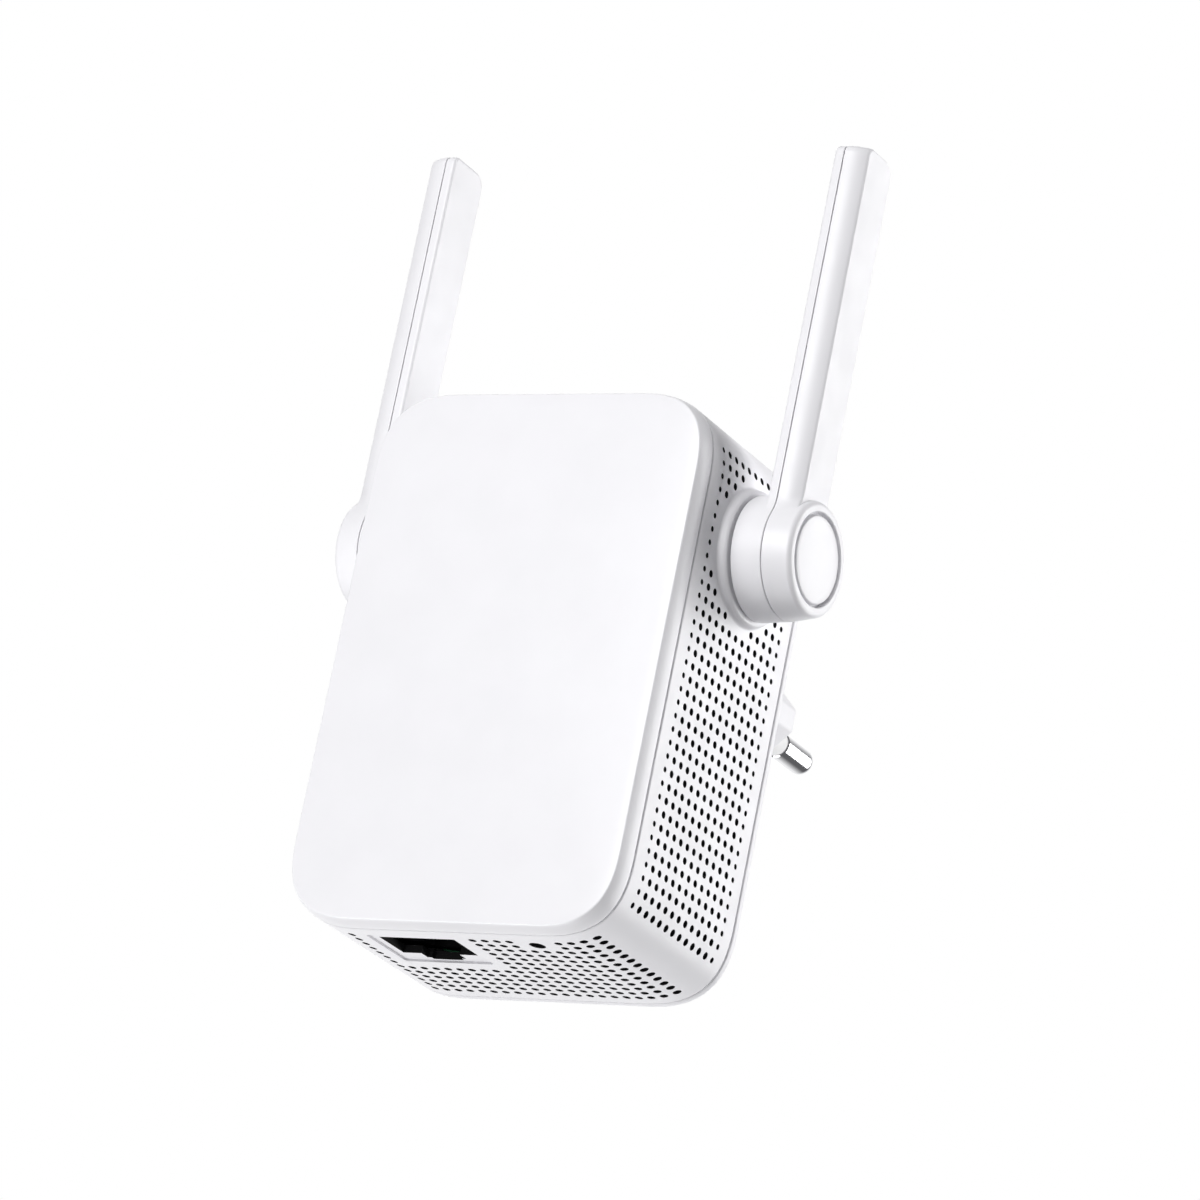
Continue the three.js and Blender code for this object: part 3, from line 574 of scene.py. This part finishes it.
def side_point(sign, y, z, depth=0.0):
    """A point `depth` under the wall on one side."""
    return (sign * (wall_at(z)[0] - depth), y, z)


def flat_point(sign, x, y, depth=0.0):
    """A point `depth` under the top (sign 1) or the bottom (sign -1)."""
    return (x, y, MIDDLE + sign * (roof_at(x)[0] - depth))


def surface(shape, border, vents, lift, normal_at, extra, open_loops):
    """Both faces of a vented wall, and the walls of its vents. open_loops are cut out and get no walls. The
    inner face, and the vent walls past a thin rim, are painted near-black as shade.
    """
    loops = [circle(c, r, VENT_SIDES) for c, r in vents] + open_loops
    points, found = triangles(border, loops, extra)
    for ids in found:
        flat = [points[i] for i in ids]
        normals = [normal_at(*p) for p in flat]
        outward = sum((Vector(n) for n in normals), Vector())
        shape.face([lift(*p, 0.0) for p in flat], outward, normals)
        # the inner face is painted near-black as shade
        shape.face([lift(*p, SHELL_THICKNESS) for p in flat], -outward, painted_shade=True)
    for (centre, _), loop in zip(vents, loops):
        middle = Vector(lift(*centre, 0.0))
        for a, b in zip(loop, loop[1:] + loop[:1]):
            # the wall's first VENT_RIM stays white, and the rest of it is painted near-black as shade
            for near, far in ((0.0, VENT_RIM), (VENT_RIM, SHELL_THICKNESS)):
                corners = [lift(*a, near), lift(*b, near), lift(*b, far), lift(*a, far)]
                shape.face(corners, middle - Vector(corners[0]), painted_shade=near > 0)


def side_patch(shape, sign):
    vents = []
    for row in range(ROWS):
        for column in range(COLUMNS):
            centre = (COLUMN_START + column * PITCH, ROW_START + row * PITCH)
            if (Vector(centre) - HUB).length < VENT_FREE_RADIUS:
                continue
            radius = EDGE_VENT_RADIUS if column in (0, COLUMNS - 1) else VENT_RADIUS
            vents.append((centre, radius))
    rim = circle(HUB, FLARE_RADIUS, 96)
    extra = [
        (y + PITCH / 2, z + PITCH / 2)
        for y in steps_between(COLUMN_START - PITCH, COLUMN_START + COLUMNS * PITCH - PITCH, COLUMNS)
        for z in steps_between(ROW_START, ROW_START + (ROWS - 2) * PITCH, ROWS - 2)
        if (Vector((y + PITCH / 2, z + PITCH / 2)) - HUB).length > FLARE_RADIUS + FLARE_CLEAR
        and PATCH_FRONT + EXTRA_CLEAR < y + PITCH / 2 < PATCH_REAR - EXTRA_CLEAR
    ]

    def lift(y, z, depth):
        return side_point(sign, y, z, depth)

    def normal_at(y, z):
        normal = wall_at(z)[1]
        return (sign * normal.x, 0.0, normal.y)

    surface(shape, frame_border(DEPTHS, HEIGHTS), vents, lift, normal_at, extra, [rim])
    flare(shape, sign, rim)


def flare(shape, sign, rim):
    """The boss grows out of the wall in a hollow curve, and its face stops short of the hub."""
    turns = steps_between(0, math.pi / 2, FLARE_STEPS)
    hollow = [(1 - math.sin(t), 1 - math.cos(t)) for t in turns]
    crown = [(math.cos(t), math.sin(t)) for t in turns[1:]]
    foot, ledge = FLARE_RADIUS - SHOULDER_RADIUS, SHOULDER_RADIUS - LEDGE_RADIUS
    shoulder = [(SHOULDER_RADIUS + foot * a, SHOULDER_RISE * r) for a, r in hollow]
    shoulder += [(LEDGE_RADIUS + ledge * a, SHOULDER_RISE + (1 - SHOULDER_RISE) * r) for a, r in crown]
    rings = []
    for radius, rise in shoulder:
        ring = []
        for y, z in rim:
            place = HUB + (Vector((y, z)) - HUB).normalized() * radius
            base = wall_at(z)[0]
            ring.append((sign * (base + (BOSS_FACE - base) * rise), place.x, place.y))
        rings.append(ring)

    def round_ring(radius, x):
        ring = []
        for y, z in rim:
            place = HUB + (Vector((y, z)) - HUB).normalized() * radius
            ring.append((sign * x, place.x, place.y))
        return ring

    rings.append(round_ring(BOSS_BORE, BOSS_FACE))
    rings.append(round_ring(BOSS_BORE, SIDE - SHELL_THICKNESS))
    rings.append([side_point(sign, y, z, SHELL_THICKNESS) for y, z in rim])
    for index, (ring, following) in enumerate(zip(rings, rings[1:])):
        for i in range(len(rim)):
            j = (i + 1) % len(rim)
            quad = [ring[i], ring[j], following[j], following[i]]
            if index == len(rings) - 2:
                outward = Vector((-sign, 0, 0))
            elif index == len(rings) - 3:
                middle = Vector((quad[0][0], HUB.x, HUB.y))
                outward = middle - Vector(quad[0])
            else:
                away = Vector((0, quad[0][1] - HUB.x, quad[0][2] - HUB.y)).normalized()
                outward = Vector((sign, 0, 0)) + away * 0.5
            shape.face(quad, outward)


def by_an_opening(x, y):
    """True for a vent that would run into the socket's recess or the reset hole."""
    x0, x1, _, y1 = JACK_FRAME
    if x0 - FRAME_CLEAR_LEFT < x < x1 + FRAME_CLEAR and y < y1 + FRAME_CLEAR:
        return True
    return abs(x - RESET_CENTRE[0]) < RESET_CLEAR_X and y < RESET_CENTRE[1] + RESET_CLEAR_Y


def flat_patch(shape, sign):
    """The top or the bottom. The bottom also has the socket's recess and the reset hole."""
    bottom = sign < 0
    vents = []
    for k in range(BOTTOM_COLUMNS):
        for column in range(COLUMNS):
            centre = (BOTTOM_START + k * PITCH, COLUMN_START + column * PITCH)
            if not (bottom and by_an_opening(*centre)):
                vents.append((centre, FLAT_VENT_RADIUS))
    open_loops = []
    if bottom:
        vents.append((RESET_CENTRE, RESET_RADIUS))
        x0, x1, y0, y1 = JACK_FRAME
        outline = []
        for cx, cy, start in ((x1, y1, 0), (x0, y1, 90), (x0, y0, 180), (x1, y0, 270)):
            centre_x = cx - math.copysign(FRAME_CORNER, cx - JACK_X)
            centre_y = cy - math.copysign(FRAME_CORNER, cy - (y0 + y1) / 2)
            outline += [(centre_x + c, centre_y + s) for c, s in arc(FRAME_CORNER, 3, start, start + 90)]
        open_loops.append(outline)
    last_x = BOTTOM_START + (BOTTOM_COLUMNS - 2) * PITCH
    extra = []
    for x in steps_between(BOTTOM_START - PITCH, last_x, BOTTOM_COLUMNS - 1):
        for y in steps_between(COLUMN_START - PITCH, COLUMN_START + (COLUMNS - 1) * PITCH, COLUMNS):
            place = Vector((x + PITCH / 2, y + PITCH / 2))
            within_x = FLAT_LOW + EXTRA_CLEAR < place.x < FLAT_HIGH - EXTRA_CLEAR
            within_y = PATCH_FRONT + EXTRA_CLEAR < place.y < PATCH_REAR - EXTRA_CLEAR
            by_frame = bottom and inside(place, grown(JACK_FRAME, FRAME_CORNER))
            by_reset = bottom and (place - Vector(RESET_CENTRE)).length < RESET_RADIUS + EXTRA_CLEAR
            if within_x and within_y and not by_frame and not by_reset:
                extra.append((x + PITCH / 2, y + PITCH / 2))

    def lift(x, y, depth):
        return flat_point(sign, x, y, depth)

    def normal_at(x, y):
        normal = roof_at(x)[1]
        return (normal.x, 0.0, sign * normal.y)

    surface(shape, frame_border(WIDTHS, DEPTHS), vents, lift, normal_at, extra, open_loops)
    if bottom:
        jack_frame(shape, open_loops[0])


def grown(rectangle, by):
    x0, x1, y0, y1 = rectangle
    return [(x0 - by, y0 - by), (x1 + by, y0 - by), (x1 + by, y1 + by), (x0 - by, y1 + by)]


def jack_frame(shape, outline):
    """The shallow recess round the network socket, and the opening in its floor. The inner face round the
    opening and the opening's walls are painted near-black as shade.
    """
    floor = MIDDLE - HALF_HEIGHT + FRAME_DEPTH
    inner = MIDDLE - HALF_HEIGHT + SHELL_THICKNESS
    opening = [(JACK_X + x, y) for x, y in JACK_OPENING]
    centre = Vector((JACK_X, (JACK_FRAME[2] + JACK_FRAME[3]) / 2, floor))
    for a, b in zip(outline, outline[1:] + outline[:1]):
        quad = [flat_point(-1, *a), flat_point(-1, *b), (*b, floor), (*a, floor)]
        shape.face(quad, centre - Vector(quad[0]))
    points, found = triangles(outline, [opening])
    for ids in found:
        flat = [points[i] for i in ids]
        shape.face([(*p, floor) for p in flat], (0, 0, -1))
    # the inner face round the opening is painted near-black as shade
    for ids in found:
        flat = [points[i] for i in ids]
        lifted = []
        for i, p in zip(ids, flat):
            on_rim = i < len(outline)
            lifted.append(flat_point(-1, p.x, p.y, SHELL_THICKNESS) if on_rim else (p.x, p.y, inner))
        shape.face(lifted, (0, 0, 1), painted_shade=True)
    # the opening's walls are painted near-black as shade
    for a, b in zip(opening, opening[1:] + opening[:1]):
        quad = [(*a, floor), (*b, floor), (*b, inner), (*a, inner)]
        edge = Vector((b[0] - a[0], b[1] - a[1]))
        inward = Vector((-edge.y, edge.x, 0))
        shape.face(quad, inward, painted_shade=True)


def master_outline():
    """Every point round the case where patches and corner strips meet, as (outer, inner, normal)."""
    entries = []

    def strip(from_x, from_z, to_x, to_z, sign_x, sign_z, steps=8):
        """Points of a corner between a wall point and a roof point, ends left out."""
        start = corner_angle(from_x, from_z)
        end = corner_angle(to_x, to_z)
        for step in range(1, steps):
            share = step / steps
            point, normal = corner_point(start + (end - start) * share, sign_x, sign_z)
            rise = share if abs(from_x) > abs(to_x) else 1 - share
            inner = point - Vector((sign_x * (1 - rise), sign_z * rise)) * SHELL_THICKNESS
            entries.append((point, inner, normal))

    def corner_angle(x, z):
        u = (abs(x) - (SIDE - REACH)) / REACH
        v = (abs(z - MIDDLE) - (HALF_HEIGHT - REACH)) / REACH
        return math.atan2(v, u)

    def wall_entry(sign, z):
        x, normal = wall_at(z)
        inner = Vector((sign * (x - SHELL_THICKNESS), z))
        entries.append((Vector((sign * x, z)), inner, Vector((sign * normal.x, normal.y))))

    def roof_entry(sign, x):
        h, normal = roof_at(x)
        z = MIDDLE + sign * h
        inner = Vector((x, z - sign * SHELL_THICKNESS))
        entries.append((Vector((x, z)), inner, Vector((normal.x, sign * normal.y))))

    for z in HEIGHTS:
        wall_entry(1, z)
    right_top = (wall_at(SIDE_HIGH)[0], SIDE_HIGH)
    top_right = (FLAT_HIGH, MIDDLE + roof_at(FLAT_HIGH)[0])
    strip(*right_top, *top_right, 1, 1)
    for x in reversed(WIDTHS):
        roof_entry(1, x)
    strip(FLAT_LOW, MIDDLE + roof_at(FLAT_LOW)[0], -right_top[0], SIDE_HIGH, -1, 1)
    for z in reversed(HEIGHTS):
        wall_entry(-1, z)
    strip(-wall_at(SIDE_LOW)[0], SIDE_LOW, FLAT_LOW, MIDDLE - roof_at(FLAT_LOW)[0], -1, -1)
    for x in WIDTHS:
        roof_entry(-1, x)
    strip(FLAT_HIGH, MIDDLE - roof_at(FLAT_HIGH)[0], wall_at(SIDE_LOW)[0], SIDE_LOW, 1, -1)
    return entries


def middle_shell():
    shape = Shape()
    for sign in (1, -1):
        side_patch(shape, sign)
        flat_patch(shape, sign)
    entries = master_outline()
    for entry, following in zip(entries, entries[1:] + entries[:1]):
        (a, a_in, na), (b, b_in, nb) = entry, following
        outward = Vector((na.x + nb.x, 0, na.y + nb.y))
        if not same_patch(a, b):
            for near, far in zip(DEPTHS, DEPTHS[1:]):
                quad = [(a.x, near, a.y), (b.x, near, b.y), (b.x, far, b.y), (a.x, far, a.y)]
                normals = [(n.x, 0.0, n.y) for n in (na, nb, nb, na)]
                shape.face(quad, outward, normals)
                shape.face([(a_in.x, near, a_in.y), (b_in.x, near, b_in.y), (b_in.x, far, b_in.y),
                            (a_in.x, far, a_in.y)], -outward)
        for end, sign in ((PATCH_FRONT, -1), (PATCH_REAR, 1)):
            rim = end + sign * RIM
            profile = [(0.0, end)]
            for c, s in arc(EDGE, 3):
                profile.append((EDGE - c, rim - sign * EDGE + sign * s))
            rows = []
            for point, inner, normal in (entry, following):
                row = [(point.x - normal.x * i, y, point.y - normal.y * i) for i, y in profile]
                row.append((inner.x, rim, inner.y))
                row.append((inner.x, end, inner.y))
                rows.append(row)
            for i in range(len(rows[0]) - 1):
                last = i == len(rows[0]) - 2
                facing = -outward if last else outward * 0.5 + Vector((0, sign, 0))
                shape.face([rows[0][i], rows[1][i], rows[1][i + 1], rows[0][i + 1]], facing)
    shape.add("shell_vented", "white_satin", "case", ["middle_shell"])


def same_patch(a, b):
    """True if both points lie on one of the four triangulated patches."""
    on_side = all(SIDE_LOW - CLOSE <= p.y <= SIDE_HIGH + CLOSE for p in (a, b)) and a.x * b.x > 0
    on_flat = all(FLAT_LOW - CLOSE <= p.x <= FLAT_HIGH + CLOSE for p in (a, b))
    on_flat = on_flat and (a.y - MIDDLE) * (b.y - MIDDLE) > 0
    return (on_side and abs(a.x) > SIDE - REACH) or (on_flat and abs(a.y - MIDDLE) > HALF_HEIGHT - REACH)


middle_shell()


# ---- rear cover and plug ----
REAR_JOINT = -22.4
REAR_FACE = -20.6
REAR_FILLET = 0.9
PLUG_BODY = [
    (17.65, -1.7), (17.65, 1.7), (12.3, 7), (-12.3, 7),
    (-17.65, 1.7), (-17.65, -1.7), (-12.3, -7), (12.3, -7),
]
PLUG_CORNER = 1.2
PLUG_EDGE = 0.6
PLUG_ROOT = 0.4  # how far the plug's body runs into the cover
PIN_X = 9.5
PIN_HOLE, PIN_HOLE_DEPTH = 2.05, 2.2


def rounded(corners, radius, steps=6):
    """A closed outline with each corner turned into an arc, as points and normals."""
    result = []
    count = len(corners)
    for i in range(count):
        before, here, after = (Vector(corners[(i + k) % count]) for k in (-1, 0, 1))
        a = (before - here).normalized()
        b = (after - here).normalized()
        half = math.acos(max(-1, min(1, a.dot(b)))) / 2
        centre = here + (a + b).normalized() * (radius / math.sin(half))
        first = here + a * (radius / math.tan(half))
        last = here + b * (radius / math.tan(half))
        start = math.atan2(*(first - centre).yx)
        end = math.atan2(*(last - centre).yx)
        sweep = (end - start + math.pi) % (2 * math.pi) - math.pi
        for step in range(steps + 1):
            angle = start + sweep * step / steps
            normal = Vector((math.cos(angle), math.sin(angle)))
            result.append((centre + normal * radius, normal))
    return result


def rear_cover():
    joint = REAR_JOINT + SEAM / 2
    profile = [(COVER_WALL, joint), (EDGE, joint)]
    for c, s in arc(EDGE, 3):
        profile.append((EDGE - s, joint + EDGE - c))
    for c, s in arc(REAR_FILLET, 7):
        profile.append((REAR_FILLET - c, REAR_FACE - REAR_FILLET + s))
    profile += [(REAR_FILLET + 0.3, REAR_FACE), (REAR_FILLET + 4, REAR_FACE)]
    shape = Shape()
    loft(shape, [ring_at(inset, y) for inset, y in profile])
    outline = rounded(PLUG_BODY, PLUG_CORNER)
    rings = [ring_at(0.0, REAR_FACE - PLUG_ROOT, outline)]
    for c, s in arc(PLUG_EDGE, 5):
        rings.append(ring_at(PLUG_EDGE - c, -PLUG_EDGE + s, outline))
    loft(shape, rings, end_cap=False)
    border = [(x, z) for x, _, z in rings[-1]]
    holes = [circle((sign * PIN_X, 0), PIN_HOLE, 40) for sign in (-1, 1)]
    points, found = triangles(border, holes)
    for ids in found:
        shape.face([(points[i].x, 0.0, points[i].y) for i in ids], (0, 1, 0))
    depth = -PIN_HOLE_DEPTH
    for sign, hole in zip((-1, 1), holes):
        for a, b in zip(hole, hole[1:] + hole[:1]):
            quad = [(a[0], 0.0, a[1]), (b[0], 0.0, b[1]), (b[0], depth, b[1]), (a[0], depth, a[1])]
            shape.face(quad, Vector((sign * PIN_X, 0, 0)) - Vector((a[0], 0, a[1])))
        shape.face([(x, depth, z) for x, z in hole], (0, 1, 0))
    shape.add("rear_with_plug", "white_satin", "case", ["rear_cover"])


def turned(shape, profile, place, axis, sides=64):
    """A closed solid of revolution. Its profile is (radius, along) pairs that begin and end on the axis."""
    rings = []
    for radius, along in profile:
        ring = []
        for i in range(sides):
            angle = 2 * math.pi * i / sides
            c, s = radius * math.cos(angle), radius * math.sin(angle)
            if axis == "x":
                ring.append((place[0] + along, place[1] + c, place[2] + s))
            else:
                ring.append((place[0] + s, place[1] + along, place[2] + c))
        rings.append(ring)
    join_rings(shape, rings)


SLEEVE_END, SLEEVE_RADIUS = 10.0, 1.93
PIN_END, PIN_RADIUS = 19.0, 2.0
PIN_NOSE = 1.7  # length of the rounded tip


def plug_pins():
    for sign, name in ((-1, "left"), (1, "right")):
        place = (sign * PIN_X, 0, 0)
        sleeve = Shape()
        turned(sleeve, [
            (0, -2.1), (1.9, -2.1), (SLEEVE_RADIUS, SLEEVE_END - 0.5), (1.8, SLEEVE_END - 0.2),
            (1.4, SLEEVE_END - 0.2), (0, SLEEVE_END - 0.2),
        ], place, "y")
        sleeve.add(f"sleeve_{name}", "white_sleeve", "case", [f"pin_sleeve_{name}"])
        pin = Shape()
        profile = [
            (0, SLEEVE_END - 0.1), (1.85, SLEEVE_END - 0.1),
            (PIN_RADIUS, SLEEVE_END + 0.1), (PIN_RADIUS, PIN_END - 1.9),
        ]
        for c, s in arc(1.0, 10):
            profile.append((0.35 + 1.65 * c, PIN_END - PIN_NOSE + PIN_NOSE * s))
        profile.append((0, PIN_END))
        turned(pin, profile, place, "y")
        pin.add(f"pin_{name}", "pin_chrome", "case", [f"plug_pin_{name}"])


rear_cover()
plug_pins()


# ---- aerials: built on the right, mirrored for the left ----
inner_low, inner_high = box_mm("aerial_right_inner_shell")
outer_low, outer_high = box_mm("aerial_right_outer_shell")
AERIAL_TOP = outer_high.z
JOINT_INNER, JOINT_OUTER = inner_high.x + 0.08, outer_low.x - 0.08
INNER_FACE = SIDE + 4.8
BLADE_FACE = SIDE + 9.8
HUB_FACE = outer_high.x
HUB_RADIUS = 8.87
INNER_RADIUS = 9.08
RIM_RADIUS = 8.35
BLADE_FRONT = HUB.x - 7.0
BLADE_SWEEP = 1.4
BLADE_REAR = HUB.x + 1.8
FRONT_FILLET = 5.0
TOP_FRONT_RADIUS = 1.3
TOP_REAR_RADIUS = 2.4
CAP_RADIUS = 6.4
CAP_BASE, CAP_WALL, CAP_EDGE, CAP_CROWN = 1.1, 0.45, 0.4, 0.28
GROOVE_RADIUS, GROOVE_DEPTH, GROOVE_EDGE = 6.82, 1.2, 0.12
RIM_ACROSS, RIM_DEEP = 0.85, 0.9
HUB_BEVEL = 0.1
INNER_BEVEL = 0.3
BLADE_EDGE = 0.28
HUB_SIDES = 128


def blade_outline(radius, setback=0.0):
    """Hub and blade in one outline in (y, z), with a hollow curve where the blade's front meets the hub."""
    front = BLADE_FRONT + setback
    centre_y = front - FRONT_FILLET
    centre_z = HUB.y + math.sqrt((radius + FRONT_FILLET) ** 2 - (centre_y - HUB.x) ** 2)
    touch = math.atan2(centre_z - HUB.y, centre_y - HUB.x)
    leave = math.acos((BLADE_REAR - HUB.x) / radius)
    points = []
    steps = 72
    for i in range(steps + 1):
        angle = touch + (leave + 2 * math.pi - touch) * i / steps
        points.append((HUB.x + radius * math.cos(angle), HUB.y + radius * math.sin(angle)))
    corner = (BLADE_REAR - TOP_REAR_RADIUS, AERIAL_TOP - TOP_REAR_RADIUS)
    points += [(BLADE_REAR, z) for z in (24.0, 40.0, 56.0)]
    points += [(corner[0] + c, corner[1] + s) for c, s in arc(TOP_REAR_RADIUS, 10)]
    corner = (front + TOP_FRONT_RADIUS, AERIAL_TOP - TOP_FRONT_RADIUS)
    points += [(corner[0] + c, corner[1] + s) for c, s in arc(TOP_FRONT_RADIUS, 8, 90, 180)]
    points += [(front, z) for z in (56.0, 40.0)]
    sweep = math.degrees(touch - math.pi)
    points += [(centre_y + c, centre_z + s) for c, s in arc(FRONT_FILLET, 14, 0, sweep)][:-1]
    return points


def inset_outline(points, by):
    """The outline drawn in by a small amount, square to its edges."""
    result = []
    for before, here, after in zip(points[-1:] + points[:-1], points, points[1:] + points[:1]):
        a = (Vector(here) - Vector(before)).normalized()
        b = (Vector(after) - Vector(here)).normalized()
        normal_a, normal_b = Vector((a.y, -a.x)), Vector((b.y, -b.x))
        middle = (normal_a + normal_b).normalized()
        result.append(Vector(here) - middle * (by / max(0.3, middle.dot(normal_a))))
    return [(p.x, p.y) for p in result]


def taper(first, last, start, end):
    """A radius that changes evenly from `first` at x = start to `last` at x = end."""
    return lambda x: first + (last - first) * (x - start) / (end - start)


def slab(hub_radius, profile, setback=lambda x: 0.0):
    """The outline carried along X through (inset, x) pairs, its front drawn back by setback(x)."""
    rings = []
    for inset, x in profile:
        outline = blade_outline(hub_radius(x) - 0.03, setback(x))
        rings.append([(x, y, z) for y, z in inset_outline(outline, inset)])
    shape = Shape()
    loft(shape, rings)
    return shape


def disc(profile):
    shape = Shape()
    turned(shape, profile, (0, HUB.x, HUB.y), "x", HUB_SIDES)
    return shape


def edge_profile(low, high, low_radius, high_radius, steps=5, between=1):
    """(inset, x) pairs of a slab with both its edges rounded."""
    profile = []
    for c, s in arc(low_radius, steps):
        profile.append((low_radius - s, low + low_radius - c))
    first, last = low + low_radius, high - high_radius
    profile += [(0.0, first + (last - first) * i / between) for i in range(1, between)]
    for c, s in arc(high_radius, steps):
        profile.append((high_radius - c, high - high_radius + s))
    return profile


def combine(name, first, others, slot, body, stands_for, flip_x):
    """Joins or cuts closed shapes into one mesh, with shading weighted by face size."""
    whole = bpy.data.objects.new(name, first.mesh(name))
    collection = bpy.context.scene.collection
    collection.objects.link(whole)
    helpers = []
    for operation, other in others:
        tool = bpy.data.objects.new("tool", other.mesh("tool"))
        collection.objects.link(tool)
        helpers.append(tool)
        modifier = whole.modifiers.new(operation, "BOOLEAN")
        modifier.operation = operation
        modifier.solver = "EXACT"
        modifier.object = tool
    result = baked(whole)
    for tool in helpers:
        bpy.data.objects.remove(tool)
    if flip_x:
        for vertex in result.vertices:
            vertex.co.x = -vertex.co.x
        result.flip_normals()
    result.shade_smooth()
    result.set_sharp_from_angle(angle=SHARP_ANGLE)
    whole.modifiers.clear()
    whole.data = result
    weighted = whole.modifiers.new("weighted", "WEIGHTED_NORMAL")
    weighted.keep_sharp = True
    whole.data = baked(whole)
    whole.modifiers.clear()
    whole.data.name = name
    whole.data.materials.clear()
    whole.data.materials.append(LOOKS[slot])
    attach(whole, body)
    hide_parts(*stands_for)


def baked(piece):
    graph = bpy.context.evaluated_depsgraph_get()
    graph.update()
    return bpy.data.meshes.new_from_object(piece.evaluated_get(graph))


def aerial(name, flip_x):
    body = f"aerial_{name}"
    back = inner_low.x
    inner_radius = taper(INNER_RADIUS, HUB_RADIUS, back + INNER_BEVEL, JOINT_INNER - HUB_BEVEL)
    inner_blade = slab(inner_radius, edge_profile(INNER_FACE, JOINT_INNER, 0.5, 0.1))
    inner_disc = disc([
        (0, back), (INNER_RADIUS - INNER_BEVEL, back), (INNER_RADIUS - 0.08, back + 0.09),
        (INNER_RADIUS, back + INNER_BEVEL), (HUB_RADIUS, JOINT_INNER - HUB_BEVEL),
        (HUB_RADIUS - HUB_BEVEL, JOINT_INNER), (0, JOINT_INNER),
    ])
    combine(f"aerial_{name}_inner", inner_disc, [("UNION", inner_blade)], "white_satin", body,
            [f"aerial_{name}_inner_shell"], flip_x)

    width = BLADE_FACE - JOINT_OUTER
    outer_radius = taper(HUB_RADIUS, RIM_RADIUS, JOINT_OUTER + HUB_BEVEL, HUB_FACE - RIM_DEEP)
    blade = slab(outer_radius, edge_profile(JOINT_OUTER, BLADE_FACE, 0.1, BLADE_EDGE, between=10),
                 lambda x: BLADE_SWEEP * ((x - JOINT_OUTER) / width) ** 2.0)
    profile = [(0, JOINT_OUTER), (HUB_RADIUS - HUB_BEVEL, JOINT_OUTER)]
    profile += [(HUB_RADIUS, JOINT_OUTER + HUB_BEVEL)]
    profile += [(RIM_RADIUS - RIM_ACROSS * (1 - c), HUB_FACE - RIM_DEEP * (1 - s)) for c, s in arc(1.0, 12)]
    profile += [(GROOVE_RADIUS + GROOVE_EDGE, HUB_FACE), (GROOVE_RADIUS, HUB_FACE - GROOVE_EDGE)]
    profile += [(GROOVE_RADIUS, HUB_FACE - GROOVE_DEPTH), (0, HUB_FACE - GROOVE_DEPTH)]
    hub = disc(profile)
    combine(f"aerial_{name}_outer", hub, [("UNION", blade)], "white_satin", body,
            [f"aerial_{name}_outer_shell"], flip_x)

    cap = Shape()
    base = HUB_FACE - CAP_BASE
    profile = [(0, base), (CAP_RADIUS, base), (CAP_RADIUS, HUB_FACE - 0.5)]
    profile += [(CAP_RADIUS - CAP_EDGE + c, HUB_FACE - CAP_WALL + s) for c, s in arc(CAP_EDGE, 6, 0, 75)]
    top = profile[-1]
    for step in range(1, 9):
        share = step / 8
        profile.append((top[0] * (1 - share), top[1] + CAP_CROWN * (1 - (1 - share) ** 2)))
    turned(cap, profile, (0, HUB.x, HUB.y), "x", HUB_SIDES)
    cap.add(f"aerial_{name}_cap", "white_gloss", body, [f"aerial_{name}_hub_cap"], flip_x)


aerial("right", False)
aerial("left", True)


# ---- carried-over CAD nodes ----
for node, part in frame["nodes"].items():
    part.data.materials.clear()
    part.data.materials.append(LOOKS[SLOT_OF[node]])


# ---- floor ----
FLOOR_Z = -1100.0
FLOOR_SIDES, FLOOR_RADIUS = 96, 20_000.0
FLOOR_GLOW = 0.5


def floor():
    """A pale round floor, far enough down for views from below. Its own light does not reach the object."""
    shape = bpy.data.meshes.new("floor")
    rim = [(x * MM, y * MM, FLOOR_Z * MM) for x, y in circle((0, 0), FLOOR_RADIUS, FLOOR_SIDES)]
    shape.from_pydata(rim, [], [list(range(FLOOR_SIDES))])
    look = plastic("floor", (0.86, 0.86, 0.86), 0.8, grain=2, grain_depth=0.05)
    shader = look.node_tree.nodes["Principled BSDF"]
    socket(shader, "Emission Color", (1, 1, 1, 1))
    socket(shader, "Emission Strength", FLOOR_GLOW)
    shape.materials.append(look)
    piece = bpy.data.objects.new("floor", shape)
    piece.visible_diffuse = piece.visible_glossy = False
    bpy.context.scene.collection.objects.link(piece)


floor()
